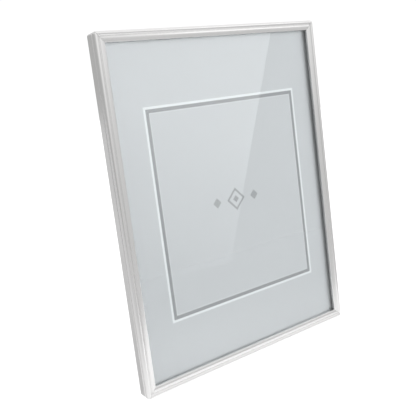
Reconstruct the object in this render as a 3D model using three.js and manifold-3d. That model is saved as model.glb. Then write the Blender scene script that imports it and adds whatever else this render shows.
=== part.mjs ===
// A standing photo frame for one 20 x 25 cm picture, in millimetres.
// Four mitred rails of a bright extruded moulding hold a glass pane, a picture card and a backing board.
// The board carries a hinged strut that makes the frame lean back, six swivel clips that lock it into
// the rails, and two hangers with wire rings for use on a wall.
//
// The frame is drawn upright first: X runs to the right seen from the front, Y runs from the front
// to the back, and Z runs up the frame. Then it is leaned back and stood on Z = 0, facing -Y.

import * as THREE from "three";
import { mergeVertices } from "three/addons/utils/BufferGeometryUtils.js";
import Module from "manifold-3d";

const wasm = await Module();
wasm.setup();

// The picture and how the frame stands.
const photoWidth = 200;
const photoHeight = 250;
const leanAngle = THREE.MathUtils.degToRad(11.5);
const strutOpening = THREE.MathUtils.degToRad(16);

// The moulding's section. Widths run inwards from the outermost line of the bead,
// and depths run backwards from its crest.
const beadRadius = 1.7;
const bandInset = 0.9;
const valleyDepth = 1.9;
const innerCrestWidth = 4.3;
const innerCrestDepth = 0.5;
const innerCurveRadius = 12;
const lipOverlap = 3.7;
const lipRound = 0.2;
const seatDepth = 3.2;
const sideWall = 1.0;
const keySlotWidth = 1.3;
const pocketWallThickness = 0.8;
const slotFrontWall = 0.7;
const slotBackWall = 0.85;
const flangeThickness = 0.8;
const flangeReach = 1.4;
const rimReach = 1.8;
const cornerRadius = 2.2;
const mitreGap = 0.05;

// What lies in the moulding's pocket.
const pocketPlay = 0.5;
const layerGap = 0.1;
const glassThickness = 2;
const glassArris = 0.25;
const cardThickness = 0.35;
const boardThickness = 2.4;
const boardCornerRadius = 2;

// Angle pieces that join the rails.
const keyPlay = 0.1;
const keyLegLength = 22;

// Rivets.
const rivetRadius = 1.5;
const rivetHeadRadius = 2.75;
const rivetHeadHeight = 0.8;
const rivetHeadRim = 0.13;
const rivetPlay = 0.1;
const rivetRecess = 0.1;

// Swivel clips that lock the board behind the rails' back flange.
const clipThickness = 0.7;
const clipHalfWidth = 4;
const clipPivotInset = 10;
const clipTailLength = 7;
const clipTailHalfWidth = 3;
const clipLipHeight = 1.5;
const clipTipPlay = 0.3;
const clipFlangePlay = 0.15;
const clipPivotPlay = 0.15;
const topClipSpacing = 110;
const bottomClipSpacing = 124;

// The strut and its hinge.
const hingeHeight = 180;
const sheetThickness = 0.8;
const pinRadius = 1;
const pinPlay = 0.2;
const pinHeadRadius = 1.7;
const pinHeadThickness = 0.5;
const boardLeafHalfWidth = 19;
const boardLeafHeight = 20;
const strutLeafHalfWidth = 16;
const strutLeafHeight = 22;
const strutKnuckleEnd = 9;
const heelHalfWidth = 4;
const knuckleGap = 0.4;
const leafCornerRadius = 3;
const leafRivetSpacing = 22;
const leafRivetMargin = 7;
const stopGap = 0.05;
const seatGap = 0.05;
const strutThickness = 3;
const strutTopWidth = 42;
const strutFootWidth = 66;
const strutTopGap = 1.2;
const strutTopRadius = 4;
const strutFootRadius = 3;

// Hangers with their wire rings.
const wireRadius = 0.8;
const wirePlay = 0.2;
const ringHalfWidth = 7;
const ringLength = 14;
const ringBend = 2;
const ringSplit = 0.3;
const strapThickness = 0.6;
const strapHalfWidth = 4;
const strapLength = 9.6;
const strapRivetDistance = 5;
const hangerAboveLeaf = 10.9;
const sidewaysHangerInset = 42;

// How finely round forms are cut.
const beadSteps = 4;
const cornerSteps = 4;
const roundSteps = 6;
const turnedSides = 16;
const rivetSides = 12;
const domeSteps = 3;
const wireSteps = 36;
const wireArcSteps = 3;
const weldDistance = 1e-4;

// Sizes worked out from those above.
const pocketWidth = photoWidth + 2 * pocketPlay;
const pocketHeight = photoHeight + 2 * pocketPlay;
const keySlotStart = bandInset + sideWall;
const keySlotEnd = keySlotStart + keySlotWidth;
const pocketWall = keySlotEnd + pocketWallThickness;
const mouldingWidth = pocketWall + lipOverlap;
const outerWidth = pocketWidth + 2 * pocketWall;
const outerHeight = pocketHeight + 2 * pocketWall;
const glassFront = seatDepth + layerGap;
const cardFront = glassFront + glassThickness + layerGap;
const boardFront = cardFront + cardThickness + layerGap;
const boardBack = boardFront + boardThickness;
const clipFront = boardBack + layerGap;
const flangeFront = clipFront + clipThickness + clipFlangePlay;
const flangeBack = flangeFront + flangeThickness;
const mouldingDepth = flangeBack + rimReach;
const flangeEdge = keySlotStart + flangeReach;
const boardEdge = pocketWall + pocketPlay;
const knuckleRadius = pinRadius + pinPlay + sheetThickness;
const pinDepth = boardBack + seatGap + knuckleRadius;

const brightMetal = new THREE.MeshStandardMaterial({ color: 0xdcdddf, metalness: 1, roughness: 0.16 });
const keyMetal = new THREE.MeshStandardMaterial({ color: 0x8d9094, metalness: 1, roughness: 0.5 });
const fittingSteel = new THREE.MeshStandardMaterial({ color: 0xb4b7ba, metalness: 1, roughness: 0.34 });
const clearGlass = new THREE.MeshStandardMaterial({
  color: 0xeef6f5, metalness: 0, roughness: 0.02, transparent: true, opacity: 0.2,
});
const cardPaper = new THREE.MeshStandardMaterial({ color: 0xced4d8, metalness: 0, roughness: 0.7 });
const blackFlock = new THREE.MeshStandardMaterial({ color: 0x232427, metalness: 0, roughness: 0.95 });

// Cutting and joining.

function solidOf(geometry) {
  const bare = geometry.index ? geometry.toNonIndexed() : geometry.clone();
  bare.deleteAttribute("normal");
  bare.deleteAttribute("uv");
  const merged = mergeVertices(bare, weldDistance);
  return new wasm.Manifold(new wasm.Mesh({
    numProp: 3,
    vertProperties: new Float32Array(merged.attributes.position.array),
    triVerts: new Uint32Array(merged.index.array),
  }));
}

function geometryOf(solid) {
  const mesh = solid.getMesh();
  const geometry = new THREE.BufferGeometry();
  geometry.setAttribute("position", new THREE.BufferAttribute(mesh.vertProperties, 3));
  geometry.setIndex(new THREE.BufferAttribute(mesh.triVerts, 1));
  return geometry;
}

function named(name, geometry, material) {
  const mesh = new THREE.Mesh(geometry, material);
  mesh.name = name;
  return mesh;
}

// Drawing flat outlines and giving them thickness.

function roundedRectangle(left, bottom, right, top, radius) {
  const shape = new THREE.Shape();
  shape.moveTo(left + radius, bottom);
  shape.absarc(right - radius, bottom + radius, radius, -Math.PI / 2, 0);
  shape.absarc(right - radius, top - radius, radius, 0, Math.PI / 2);
  shape.absarc(left + radius, top - radius, radius, Math.PI / 2, Math.PI);
  shape.absarc(left + radius, bottom + radius, radius, Math.PI, 1.5 * Math.PI);
  return shape;
}

function roundHole(x, z, radius) {
  const hole = new THREE.Path();
  hole.absarc(x, z, radius, 0, 2 * Math.PI, true);
  return hole;
}

// A sheet drawn in the X-Z plane that reaches from one depth to another.
function sheet(shape, front, back, curveSegments = roundSteps) {
  const geometry = new THREE.ExtrudeGeometry(shape, {
    depth: back - front, bevelEnabled: false, curveSegments,
  });
  geometry.rotateX(Math.PI / 2);
  geometry.translate(0, back, 0);
  return geometry;
}

// A bar along X whose section is drawn in the Y-Z plane.
function bar(section, left, right, curveSegments = roundSteps) {
  const geometry = new THREE.ExtrudeGeometry(section, {
    depth: right - left, bevelEnabled: false, curveSegments,
  });
  geometry.applyMatrix4(new THREE.Matrix4().makeBasis(
    new THREE.Vector3(0, 1, 0), new THREE.Vector3(0, 0, 1), new THREE.Vector3(1, 0, 0),
  ));
  geometry.translate(left, 0, 0);
  return geometry;
}

function ringSection(outerRadius, innerRadius) {
  const section = new THREE.Shape();
  section.absarc(0, 0, outerRadius, 0, 2 * Math.PI);
  section.holes.push(roundHole(0, 0, innerRadius));
  return section;
}

// The moulding's outline: bead, valley and inner crest in front, the pocket's seat and wall,
// the groove between wall and back flange that the swivel clips turn into, and the rim of the
// side wall that stands behind the flange.
function mouldingSection() {
  const valleyWidth = beadRadius + Math.sqrt(beadRadius ** 2 - (valleyDepth - beadRadius) ** 2);
  const valleyTurn = Math.atan2(valleyDepth - beadRadius, valleyWidth - beadRadius);
  const bandTurn = Math.PI - Math.acos(1 - bandInset / beadRadius);
  const lipTurn = Math.asin((mouldingWidth - lipRound - innerCrestWidth) / innerCurveRadius);
  const lipDepth = innerCrestDepth + innerCurveRadius * (1 - Math.cos(lipTurn));

  const section = new THREE.Shape();
  section.absarc(beadRadius, beadRadius, beadRadius, bandTurn, Math.PI);
  section.absarc(beadRadius, beadRadius, beadRadius, Math.PI, 1.5 * Math.PI);
  section.absarc(beadRadius, beadRadius, beadRadius, 1.5 * Math.PI, 2 * Math.PI + valleyTurn);
  section.absellipse(
    innerCrestWidth, valleyDepth, innerCrestWidth - valleyWidth, valleyDepth - innerCrestDepth,
    Math.PI, 1.5 * Math.PI, false,
  );
  section.absarc(
    innerCrestWidth, innerCrestDepth + innerCurveRadius, innerCurveRadius,
    1.5 * Math.PI, 1.5 * Math.PI + lipTurn,
  );
  section.quadraticCurveTo(mouldingWidth, lipDepth, mouldingWidth, lipDepth + lipRound);
  section.lineTo(mouldingWidth, seatDepth);
  section.lineTo(pocketWall, seatDepth);
  section.lineTo(pocketWall, boardBack);
  section.lineTo(keySlotStart, boardBack);
  section.lineTo(keySlotStart, flangeFront);
  section.lineTo(flangeEdge, flangeFront);
  section.lineTo(flangeEdge, flangeBack);
  section.lineTo(keySlotStart, flangeBack);
  section.lineTo(keySlotStart, mouldingDepth);
  section.lineTo(bandInset, mouldingDepth);
  section.closePath();
  return section;
}

// The slot inside the moulding that the corner keys are pressed into.
function keySlotSection() {
  const slot = new THREE.Shape();
  slot.moveTo(keySlotStart, seatDepth + slotFrontWall);
  slot.lineTo(keySlotEnd, seatDepth + slotFrontWall);
  slot.lineTo(keySlotEnd, boardBack - slotBackWall);
  slot.lineTo(keySlotStart, boardBack - slotBackWall);
  slot.closePath();
  return slot;
}

const section = mouldingSection();

// Where a line of the moulding, at a width from the outer edge, runs near a mitre. Turned goes from
// 0 on the mitre to 1 where the rounded corner has ended, and the answer is measured from the corner.
function cornerPoint(width, turned) {
  const arcRadius = Math.max(cornerRadius - width, 0);
  const angle = (1 - turned) * Math.PI / 4;
  const straight = turned * Math.min(width, cornerRadius);
  return {
    along: Math.max(width, cornerRadius) - arcRadius * Math.sin(angle) + straight,
    inward: Math.max(width, cornerRadius) - arcRadius * Math.cos(angle),
  };
}

// A length of section along X with the moulding's outer edge on Z = 0. Both ends are mitred, and what
// lies near the outer corner follows its round. A gap is left between each end and the mitre.
function mitredLength(profile, length, gap) {
  const steps = 2 * cornerSteps + 1;
  const geometry = new THREE.ExtrudeGeometry(profile, {
    depth: 1, steps, bevelEnabled: false, curveSegments: beadSteps,
  });
  const position = geometry.getAttribute("position");
  for (let i = 0; i < position.count; i += 1) {
    const station = Math.round(position.getZ(i) * steps);
    const nearRight = station <= cornerSteps;
    const turned = (nearRight ? station : steps - station) / cornerSteps;
    const { along, inward } = cornerPoint(position.getX(i), turned);
    const end = length / 2 - along - gap;
    position.setXYZ(i, nearRight ? end : -end, position.getY(i), inward);
  }
  return geometry;
}

function railGeometry(length) {
  const rail = solidOf(mitredLength(section, length, mitreGap));
  const slot = solidOf(mitredLength(keySlotSection(), length, -keySlotWidth / 2));
  return geometryOf(rail.subtract(slot));
}

function rails() {
  const lying = railGeometry(outerWidth);
  const upright = railGeometry(outerHeight);
  const bottom = named("rail_bottom", lying, brightMetal);
  const top = named("rail_top", lying, brightMetal);
  top.rotation.y = Math.PI;
  top.position.z = outerHeight;
  const left = named("rail_left", upright, brightMetal);
  left.rotation.y = Math.PI / 2;
  left.position.set(-outerWidth / 2, 0, outerHeight / 2);
  const right = named("rail_right", upright, brightMetal);
  right.rotation.y = -Math.PI / 2;
  right.position.set(outerWidth / 2, 0, outerHeight / 2);
  return [bottom, top, left, right];
}

// An angle piece in the lower left corner's slot, drawn from the frame's outer corner.
function cornerKeyGeometry() {
  const outer = keySlotStart + keyPlay;
  const inner = keySlotEnd - keyPlay;
  const end = outer + keyLegLength;
  const shape = new THREE.Shape();
  shape.moveTo(outer, outer);
  shape.lineTo(end, outer);
  shape.lineTo(end, inner);
  shape.lineTo(inner, inner);
  shape.lineTo(inner, end);
  shape.lineTo(outer, end);
  shape.closePath();
  return sheet(shape, seatDepth + slotFrontWall + keyPlay, boardBack - slotBackWall - keyPlay);
}

function cornerKeys() {
  const geometry = cornerKeyGeometry();
  const places = [
    ["bottom_left", -1, 0, 0],
    ["bottom_right", 1, 0, -Math.PI / 2],
    ["top_right", 1, 1, Math.PI],
    ["top_left", -1, 1, Math.PI / 2],
  ];
  return places.map(([place, side, up, turn]) => {
    const key = named(`corner_key_${place}`, geometry, keyMetal);
    key.position.set(side * outerWidth / 2, 0, up * outerHeight);
    key.rotation.y = turn;
    return key;
  });
}

// The glass has the fine bevel that a cut pane gets on its edges.
function glassPane() {
  const shape = new THREE.Shape();
  const halfWidth = photoWidth / 2 - glassArris;
  const halfHeight = photoHeight / 2 - glassArris;
  shape.moveTo(-halfWidth, -halfHeight);
  shape.lineTo(halfWidth, -halfHeight);
  shape.lineTo(halfWidth, halfHeight);
  shape.lineTo(-halfWidth, halfHeight);
  shape.closePath();
  const geometry = new THREE.ExtrudeGeometry(shape, {
    depth: glassThickness - 2 * glassArris,
    bevelEnabled: true, bevelSegments: 1, bevelSize: glassArris, bevelThickness: glassArris,
  });
  geometry.rotateX(Math.PI / 2);
  geometry.translate(0, glassFront + glassThickness - glassArris, outerHeight / 2);
  return named("glass_pane", geometry, clearGlass);
}

function pictureCard() {
  const geometry = new THREE.BoxGeometry(photoWidth, cardThickness, photoHeight);
  geometry.translate(0, cardFront + cardThickness / 2, outerHeight / 2);
  return named("picture_card", geometry, cardPaper);
}

// Where each clip's rivet stands in the board, and which way its tongue points: 0 is up.
const clipPlaces = [
  ["top_left", -topClipSpacing / 2, outerHeight - boardEdge - clipPivotInset, 0],
  ["top_right", topClipSpacing / 2, outerHeight - boardEdge - clipPivotInset, 0],
  ["right", outerWidth / 2 - boardEdge - clipPivotInset, outerHeight / 2, Math.PI / 2],
  ["bottom_right", bottomClipSpacing / 2, boardEdge + clipPivotInset, Math.PI],
  ["bottom_left", -bottomClipSpacing / 2, boardEdge + clipPivotInset, Math.PI],
  ["left", -outerWidth / 2 + boardEdge + clipPivotInset, outerHeight / 2, -Math.PI / 2],
];

// Where each hanger's ring turns, and which way the ring points when it carries the frame: 0 is up.
const hangerPlaces = [
  ["upright", 0, hingeHeight + boardLeafHeight + hangerAboveLeaf + strapLength, 0],
  ["sideways", -outerWidth / 2 + boardEdge + sidewaysHangerInset, outerHeight / 2, -Math.PI / 2],
];

const leafRivets = [["left", -leafRivetSpacing / 2], ["right", leafRivetSpacing / 2]];
const boardLeafRivetHeight = hingeHeight + boardLeafHeight - leafRivetMargin;
const strutLeafRivetDrop = strutLeafHeight - leafRivetMargin;

function backingBoard() {
  const shape = roundedRectangle(
    -photoWidth / 2, boardEdge, photoWidth / 2, boardEdge + photoHeight, boardCornerRadius,
  );
  const radius = rivetRadius + rivetPlay;
  for (const [, x, z] of clipPlaces) shape.holes.push(roundHole(x, z, radius));
  for (const [, x] of leafRivets) shape.holes.push(roundHole(x, boardLeafRivetHeight, radius));
  for (const [, x, z, turn] of hangerPlaces) {
    shape.holes.push(roundHole(
      x - strapRivetDistance * Math.sin(turn), z - strapRivetDistance * Math.cos(turn), radius,
    ));
  }
  return named("backing_board", sheet(shape, boardFront, boardBack), blackFlock);
}

// A rivet along Y whose head's underside is at Y = 0. The shank runs forwards by its length.
function rivetGeometry(shankLength) {
  const profile = [new THREE.Vector2(0, -shankLength), new THREE.Vector2(rivetRadius, -shankLength)];
  profile.push(new THREE.Vector2(rivetRadius, 0), new THREE.Vector2(rivetHeadRadius, 0));
  for (let i = 0; i <= domeSteps; i += 1) {
    const angle = i / domeSteps * Math.PI / 2;
    profile.push(new THREE.Vector2(
      rivetHeadRadius * Math.cos(angle),
      rivetHeadRim + (rivetHeadHeight - rivetHeadRim) * Math.sin(angle),
    ));
  }
  profile[profile.length - 1].x = 0;
  return new THREE.LatheGeometry(profile, rivetSides);
}

// A swivel clip with its pivot at the origin, its tongue pointing up, and its front face on Y = 0.
// The tip is an arc about the pivot, so it turns in the rail's groove without touching the floor of it.
function clipGeometry() {
  const reach = clipPivotInset + boardEdge - keySlotStart - clipTipPlay;
  const tipTurn = Math.acos(clipHalfWidth / reach);
  const outline = new THREE.Shape();
  outline.moveTo(clipTailHalfWidth, -clipTailLength);
  outline.lineTo(clipHalfWidth, -clipHalfWidth);
  outline.absarc(0, 0, reach, tipTurn, Math.PI - tipTurn);
  outline.lineTo(-clipHalfWidth, -clipHalfWidth);
  outline.lineTo(-clipTailHalfWidth, -clipTailLength);
  outline.closePath();
  outline.holes.push(roundHole(0, 0, rivetRadius + clipPivotPlay));

  const bend = clipThickness;
  const profile = new THREE.Shape();
  profile.moveTo(0, reach);
  profile.lineTo(0, bend - clipTailLength);
  profile.absarc(bend, bend - clipTailLength, bend, Math.PI, 1.5 * Math.PI);
  profile.lineTo(clipLipHeight, -clipTailLength);
  profile.lineTo(clipLipHeight, clipThickness - clipTailLength);
  profile.lineTo(clipThickness, clipThickness - clipTailLength);
  profile.lineTo(clipThickness, reach);
  profile.closePath();

  const plate = solidOf(sheet(outline, 0, clipLipHeight));
  return geometryOf(plate.intersect(solidOf(bar(profile, -clipHalfWidth, clipHalfWidth))));
}

function swivelClips() {
  const clip = clipGeometry();
  const shank = clipFront + clipThickness + seatGap - boardFront - rivetRecess;
  const rivet = rivetGeometry(shank);
  return clipPlaces.flatMap(([place, x, z, turn]) => {
    const swivel = named(`swivel_clip_${place}`, clip, fittingSteel);
    swivel.position.set(x, clipFront, z);
    swivel.rotation.y = turn;
    const pivot = named(`clip_rivet_${place}`, rivet, fittingSteel);
    pivot.position.set(x, clipFront + clipThickness + seatGap, z);
    return [swivel, pivot];
  });
}

// The hinge leaf on the board, drawn from the pin's centre line.
function boardLeafGeometry() {
  const notch = strutKnuckleEnd + knuckleGap;
  const outline = new THREE.Shape();
  outline.moveTo(-boardLeafHalfWidth, 0);
  outline.lineTo(-notch, 0);
  outline.lineTo(-notch, knuckleRadius + knuckleGap);
  outline.lineTo(notch, knuckleRadius + knuckleGap);
  outline.lineTo(notch, 0);
  outline.lineTo(boardLeafHalfWidth, 0);
  outline.absarc(
    boardLeafHalfWidth - leafCornerRadius, boardLeafHeight - leafCornerRadius, leafCornerRadius,
    0, Math.PI / 2,
  );
  outline.absarc(
    leafCornerRadius - boardLeafHalfWidth, boardLeafHeight - leafCornerRadius, leafCornerRadius,
    Math.PI / 2, Math.PI,
  );
  outline.closePath();
  for (const [, x] of leafRivets) {
    outline.holes.push(roundHole(x, boardLeafRivetHeight - hingeHeight, rivetRadius + rivetPlay));
  }
  const plate = solidOf(sheet(outline, -knuckleRadius, sheetThickness - knuckleRadius));
  const curl = ringSection(knuckleRadius, knuckleRadius - sheetThickness);
  const left = solidOf(bar(curl, -boardLeafHalfWidth, -notch));
  const right = solidOf(bar(curl, notch, boardLeafHalfWidth));
  return geometryOf(plate.add(left).add(right));
}

// The hinge leaf on the strut, drawn from the pin's centre line with the strut folded flat.
// Its heel runs past the pin and meets the leaf on the board when the strut is open.
function strutLeafGeometry() {
  const inside = knuckleRadius - sheetThickness;
  const heelLength = (inside * Math.cos(strutOpening) + inside - stopGap) / Math.sin(strutOpening);
  const shoulder = -knuckleRadius - knuckleGap;
  const outline = new THREE.Shape();
  outline.moveTo(strutLeafHalfWidth, shoulder);
  outline.lineTo(strutKnuckleEnd, shoulder);
  outline.lineTo(strutKnuckleEnd, 0);
  outline.lineTo(heelHalfWidth, 0);
  outline.lineTo(heelHalfWidth, heelLength);
  outline.lineTo(-heelHalfWidth, heelLength);
  outline.lineTo(-heelHalfWidth, 0);
  outline.lineTo(-strutKnuckleEnd, 0);
  outline.lineTo(-strutKnuckleEnd, shoulder);
  outline.lineTo(-strutLeafHalfWidth, shoulder);
  outline.absarc(
    leafCornerRadius - strutLeafHalfWidth, leafCornerRadius - strutLeafHeight, leafCornerRadius,
    Math.PI, 1.5 * Math.PI,
  );
  outline.absarc(
    strutLeafHalfWidth - leafCornerRadius, leafCornerRadius - strutLeafHeight, leafCornerRadius,
    1.5 * Math.PI, 2 * Math.PI,
  );
  outline.closePath();
  for (const [, x] of leafRivets) {
    outline.holes.push(roundHole(x, -strutLeafRivetDrop, rivetRadius + rivetPlay));
  }
  const plate = solidOf(sheet(outline, inside, knuckleRadius));
  const curl = ringSection(knuckleRadius, inside);
  const left = solidOf(bar(curl, -strutKnuckleEnd, -heelHalfWidth - knuckleGap));
  const right = solidOf(bar(curl, heelHalfWidth + knuckleGap, strutKnuckleEnd));
  return geometryOf(plate.add(left).add(right));
}

function hingePinGeometry() {
  const end = boardLeafHalfWidth + seatGap;
  const tip = end + pinHeadThickness;
  const profile = [
    [0, -tip], [pinHeadRadius, -tip], [pinHeadRadius, -end], [pinRadius, -end],
    [pinRadius, end], [pinHeadRadius, end], [pinHeadRadius, tip], [0, tip],
  ].map(([radius, along]) => new THREE.Vector2(radius, along));
  const geometry = new THREE.LatheGeometry(profile, turnedSides);
  geometry.rotateZ(Math.PI / 2);
  return geometry;
}

// How far the frame's lowest edge lies below its front bottom line once the frame leans.
const lowestDrop = Math.max(...section.extractPoints(beadSteps).shape.map(
  (point) => point.y * Math.sin(leanAngle) - point.x * Math.cos(leanAngle),
));
const pinAboveFloor = lowestDrop + hingeHeight * Math.cos(leanAngle) - pinDepth * Math.sin(leanAngle);

// The strut, drawn folded flat with the pin's centre line at the origin. Its foot is cut so that it
// stands flat on the floor when the strut is open.
function strutGeometry() {
  const tilt = strutOpening - leanAngle;
  const back = knuckleRadius - sheetThickness - seatGap;
  const front = back - strutThickness;
  const top = -knuckleRadius - strutTopGap;
  const foot = -(pinAboveFloor + back * Math.sin(tilt)) / Math.cos(tilt);
  const shape = new THREE.Shape();
  const footHalf = strutFootWidth / 2;
  const topHalf = strutTopWidth / 2;
  shape.moveTo(strutFootRadius - footHalf, foot);
  shape.lineTo(footHalf - strutFootRadius, foot);
  shape.quadraticCurveTo(footHalf, foot, footHalf, foot + strutFootRadius);
  shape.lineTo(topHalf, top - strutTopRadius);
  shape.quadraticCurveTo(topHalf, top, topHalf - strutTopRadius, top);
  shape.lineTo(strutTopRadius - topHalf, top);
  shape.quadraticCurveTo(-topHalf, top, -topHalf, top - strutTopRadius);
  shape.lineTo(-footHalf, foot + strutFootRadius);
  shape.quadraticCurveTo(-footHalf, foot, strutFootRadius - footHalf, foot);
  shape.closePath();
  for (const [, x] of leafRivets) {
    shape.holes.push(roundHole(x, -strutLeafRivetDrop, rivetRadius + rivetPlay));
  }
  const floor = new THREE.BoxGeometry(2 * strutFootWidth, 2 * strutFootWidth, strutFootWidth);
  floor.translate(0, 0, -pinAboveFloor - strutFootWidth / 2);
  floor.rotateX(-tilt);
  return geometryOf(solidOf(sheet(shape, front, back)).subtract(solidOf(floor)));
}

function hingeOnBoard() {
  const leaf = named("hinge_board_leaf", boardLeafGeometry(), fittingSteel);
  leaf.position.set(0, pinDepth, hingeHeight);
  const pin = named("hinge_pin", hingePinGeometry(), fittingSteel);
  pin.position.set(0, pinDepth, hingeHeight);
  const leafBack = boardBack + seatGap + sheetThickness;
  const rivet = rivetGeometry(leafBack + seatGap - boardFront - rivetRecess);
  const rivets = leafRivets.map(([side, x]) => {
    const mesh = named(`board_leaf_rivet_${side}`, rivet, fittingSteel);
    mesh.position.set(x, leafBack + seatGap, boardLeafRivetHeight);
    return mesh;
  });
  return [leaf, pin, ...rivets];
}

// The strut with its leaf and rivets, turned about the pin to where it stands open.
function strutAssembly() {
  const group = new THREE.Group();
  group.add(named("strut", strutGeometry(), blackFlock));
  group.add(named("hinge_strut_leaf", strutLeafGeometry(), fittingSteel));
  const rivet = rivetGeometry(strutThickness + sheetThickness + 2 * seatGap - rivetRecess);
  for (const [side, x] of leafRivets) {
    const mesh = named(`strut_leaf_rivet_${side}`, rivet, fittingSteel);
    mesh.position.set(x, knuckleRadius + seatGap, -strutLeafRivetDrop);
    group.add(mesh);
  }
  group.position.set(0, pinDepth, hingeHeight);
  group.rotation.x = strutOpening;
  return group;
}

// The strap that holds a ring, drawn with the ring's turning line at the origin and the strap below.
const strapEyeRadius = wireRadius + wirePlay + strapThickness;
function hangerStrapGeometry() {
  const outline = new THREE.Shape();
  outline.moveTo(-strapHalfWidth, 0);
  outline.lineTo(-strapHalfWidth, strapHalfWidth - strapLength);
  outline.absarc(0, strapHalfWidth - strapLength, strapHalfWidth, Math.PI, 2 * Math.PI);
  outline.lineTo(strapHalfWidth, 0);
  outline.closePath();
  outline.holes.push(roundHole(0, -strapRivetDistance, rivetRadius + rivetPlay));
  const plate = solidOf(sheet(outline, -strapEyeRadius, strapThickness - strapEyeRadius));
  const eye = bar(
    ringSection(strapEyeRadius, strapEyeRadius - strapThickness), -strapHalfWidth, strapHalfWidth,
  );
  return geometryOf(plate.add(solidOf(eye)));
}

// A wire bent to a triangle. Its ends meet inside the strap's eye, and it points along +Z.
function ringGeometry() {
  const path = new THREE.CurvePath();
  const point = (x, z) => new THREE.Vector3(x, 0, z);
  const corners = [point(ringHalfWidth, 0), point(0, ringLength), point(-ringHalfWidth, 0)];
  let from = point(ringSplit / 2, 0);
  const last = point(-ringSplit / 2, 0);
  corners.forEach((corner, i) => {
    const next = i + 1 < corners.length ? corners[i + 1] : last;
    const before = corner.clone().add(from.clone().sub(corner).setLength(ringBend));
    const after = corner.clone().add(next.clone().sub(corner).setLength(ringBend));
    path.add(new THREE.LineCurve3(from, before));
    path.add(new THREE.QuadraticBezierCurve3(before, corner, after));
    from = after;
  });
  path.add(new THREE.LineCurve3(from, last));
  const wire = new THREE.Shape();
  wire.absarc(0, 0, wireRadius, 0, 2 * Math.PI);
  return new THREE.ExtrudeGeometry(wire, {
    steps: wireSteps, curveSegments: wireArcSteps, extrudePath: path,
  });
}

// One hanger. The frame's own weight lets the upright ring hang straight down, and the sideways one
// lies flat on the board and points at the edge.
function hanger([place, x, z, turn], ringTurn) {
  const group = new THREE.Group();
  const strap = named(`hanger_strap_${place}`, hangerStrapGeometry(), fittingSteel);
  const strapBack = strapThickness - strapEyeRadius;
  const shank = boardThickness + strapThickness + 2 * seatGap - rivetRecess;
  const rivet = named(`hanger_rivet_${place}`, rivetGeometry(shank), fittingSteel);
  rivet.position.set(0, strapBack + seatGap, -strapRivetDistance);
  const ring = named(`hanger_ring_${place}`, ringGeometry(), fittingSteel);
  ring.rotation.x = ringTurn;
  group.add(strap, rivet, ring);
  group.position.set(x, boardBack + seatGap + strapEyeRadius, z);
  group.rotation.y = turn;
  return group;
}

const leaning = new THREE.Group();
leaning.add(...rails(), ...cornerKeys(), glassPane(), pictureCard(), backingBoard());
leaning.add(...swivelClips(), ...hingeOnBoard(), strutAssembly());
leaning.add(hanger(hangerPlaces[0], Math.PI + leanAngle), hanger(hangerPlaces[1], 0));
leaning.rotation.x = -leanAngle;
leaning.position.z = lowestDrop;

// The frame stands on Z = 0, with the middle of the ground it covers at the origin.
const standing = new THREE.Group();
standing.add(leaning);
const reach = new THREE.Box3().setFromObject(standing, true);
leaning.position.y = -(reach.min.y + reach.max.y) / 2;

export default standing;
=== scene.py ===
"""A standing photo frame in bright metal, shown in a white studio.

The frame is drawn upright first: X runs to the right seen from the front, Y runs from the front to the
back and Z runs up the frame, with the origin at the middle of its bottom edge. Each piece is modelled
there or around a line of its own, such as the hinge pin, and is then set where the frame stands. A width
in the moulding's section runs inwards from the frame's outer edge, and a depth runs backwards.
"""

import logging
import math
from dataclasses import dataclass
from enum import Enum
from typing import Any, Callable, Sequence

import bmesh
import bpy
from mathutils import Matrix, Vector


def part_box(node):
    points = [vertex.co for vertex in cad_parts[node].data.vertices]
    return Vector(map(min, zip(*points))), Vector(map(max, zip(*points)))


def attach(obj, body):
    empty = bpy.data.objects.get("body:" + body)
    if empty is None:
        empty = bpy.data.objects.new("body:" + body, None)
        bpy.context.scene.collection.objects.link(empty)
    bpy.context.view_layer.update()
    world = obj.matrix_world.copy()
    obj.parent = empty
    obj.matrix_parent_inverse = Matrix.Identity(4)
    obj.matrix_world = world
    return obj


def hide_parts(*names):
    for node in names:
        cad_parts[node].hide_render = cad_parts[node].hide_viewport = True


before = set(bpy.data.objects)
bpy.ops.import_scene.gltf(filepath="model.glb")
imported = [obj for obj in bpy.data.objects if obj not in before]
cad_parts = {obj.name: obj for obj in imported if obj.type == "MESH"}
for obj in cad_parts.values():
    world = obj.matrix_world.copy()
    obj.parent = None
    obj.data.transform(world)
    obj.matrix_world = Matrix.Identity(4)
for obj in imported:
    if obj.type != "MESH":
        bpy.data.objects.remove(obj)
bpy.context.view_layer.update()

LOG = logging.getLogger("photo_frame")

MM = 0.001
TOUCH = 0.01 * MM
SHARP_EDGE = math.radians(40)
FACES_ALONG = 0.9
ACROSS = Vector((1, 0, 0))
BACKWARDS = Vector((0, 1, 0))
UP = Vector((0, 0, 1))

Colour = tuple[float, float, float, float]


def grey(level: float, warmth: float = 0.0) -> Colour:
    """Give a grey that leans to a warm or, below zero, to a cool tone.

    Args:
        level: The grey's linear brightness.
        warmth: How much more red than blue there is, as a share of the level.

    Returns:
        The colour as red, green, blue and alpha.
    """
    return level * (1 + warmth / 2), level, level * (1 - warmth / 2), 1.0


def arc(centre: tuple[float, float], radius: float, start: float, end: float, steps: int) -> list[Vector]:
    """Give the points of a round stretch of the moulding's section.

    Args:
        centre: The width and depth of the arc's centre.
        radius: The arc's radius.
        start: The angle of the first point, from the width towards the depth.
        end: The angle of the last point.
        steps: How many straight steps stand for the arc.

    Returns:
        The points from start to end, as width and depth.
    """
    angles = [start + (end - start) * i / steps for i in range(steps + 1)]
    return [Vector((centre[0] + radius * math.cos(a), centre[1] + radius * math.sin(a))) for a in angles]


def at_level(edge: bmesh.types.BMEdge, level: float) -> bool:
    """Say whether both ends of an edge lie at a level."""
    return all(abs(vertex.co.z - level) < TOUCH for vertex in edge.verts)


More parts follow.
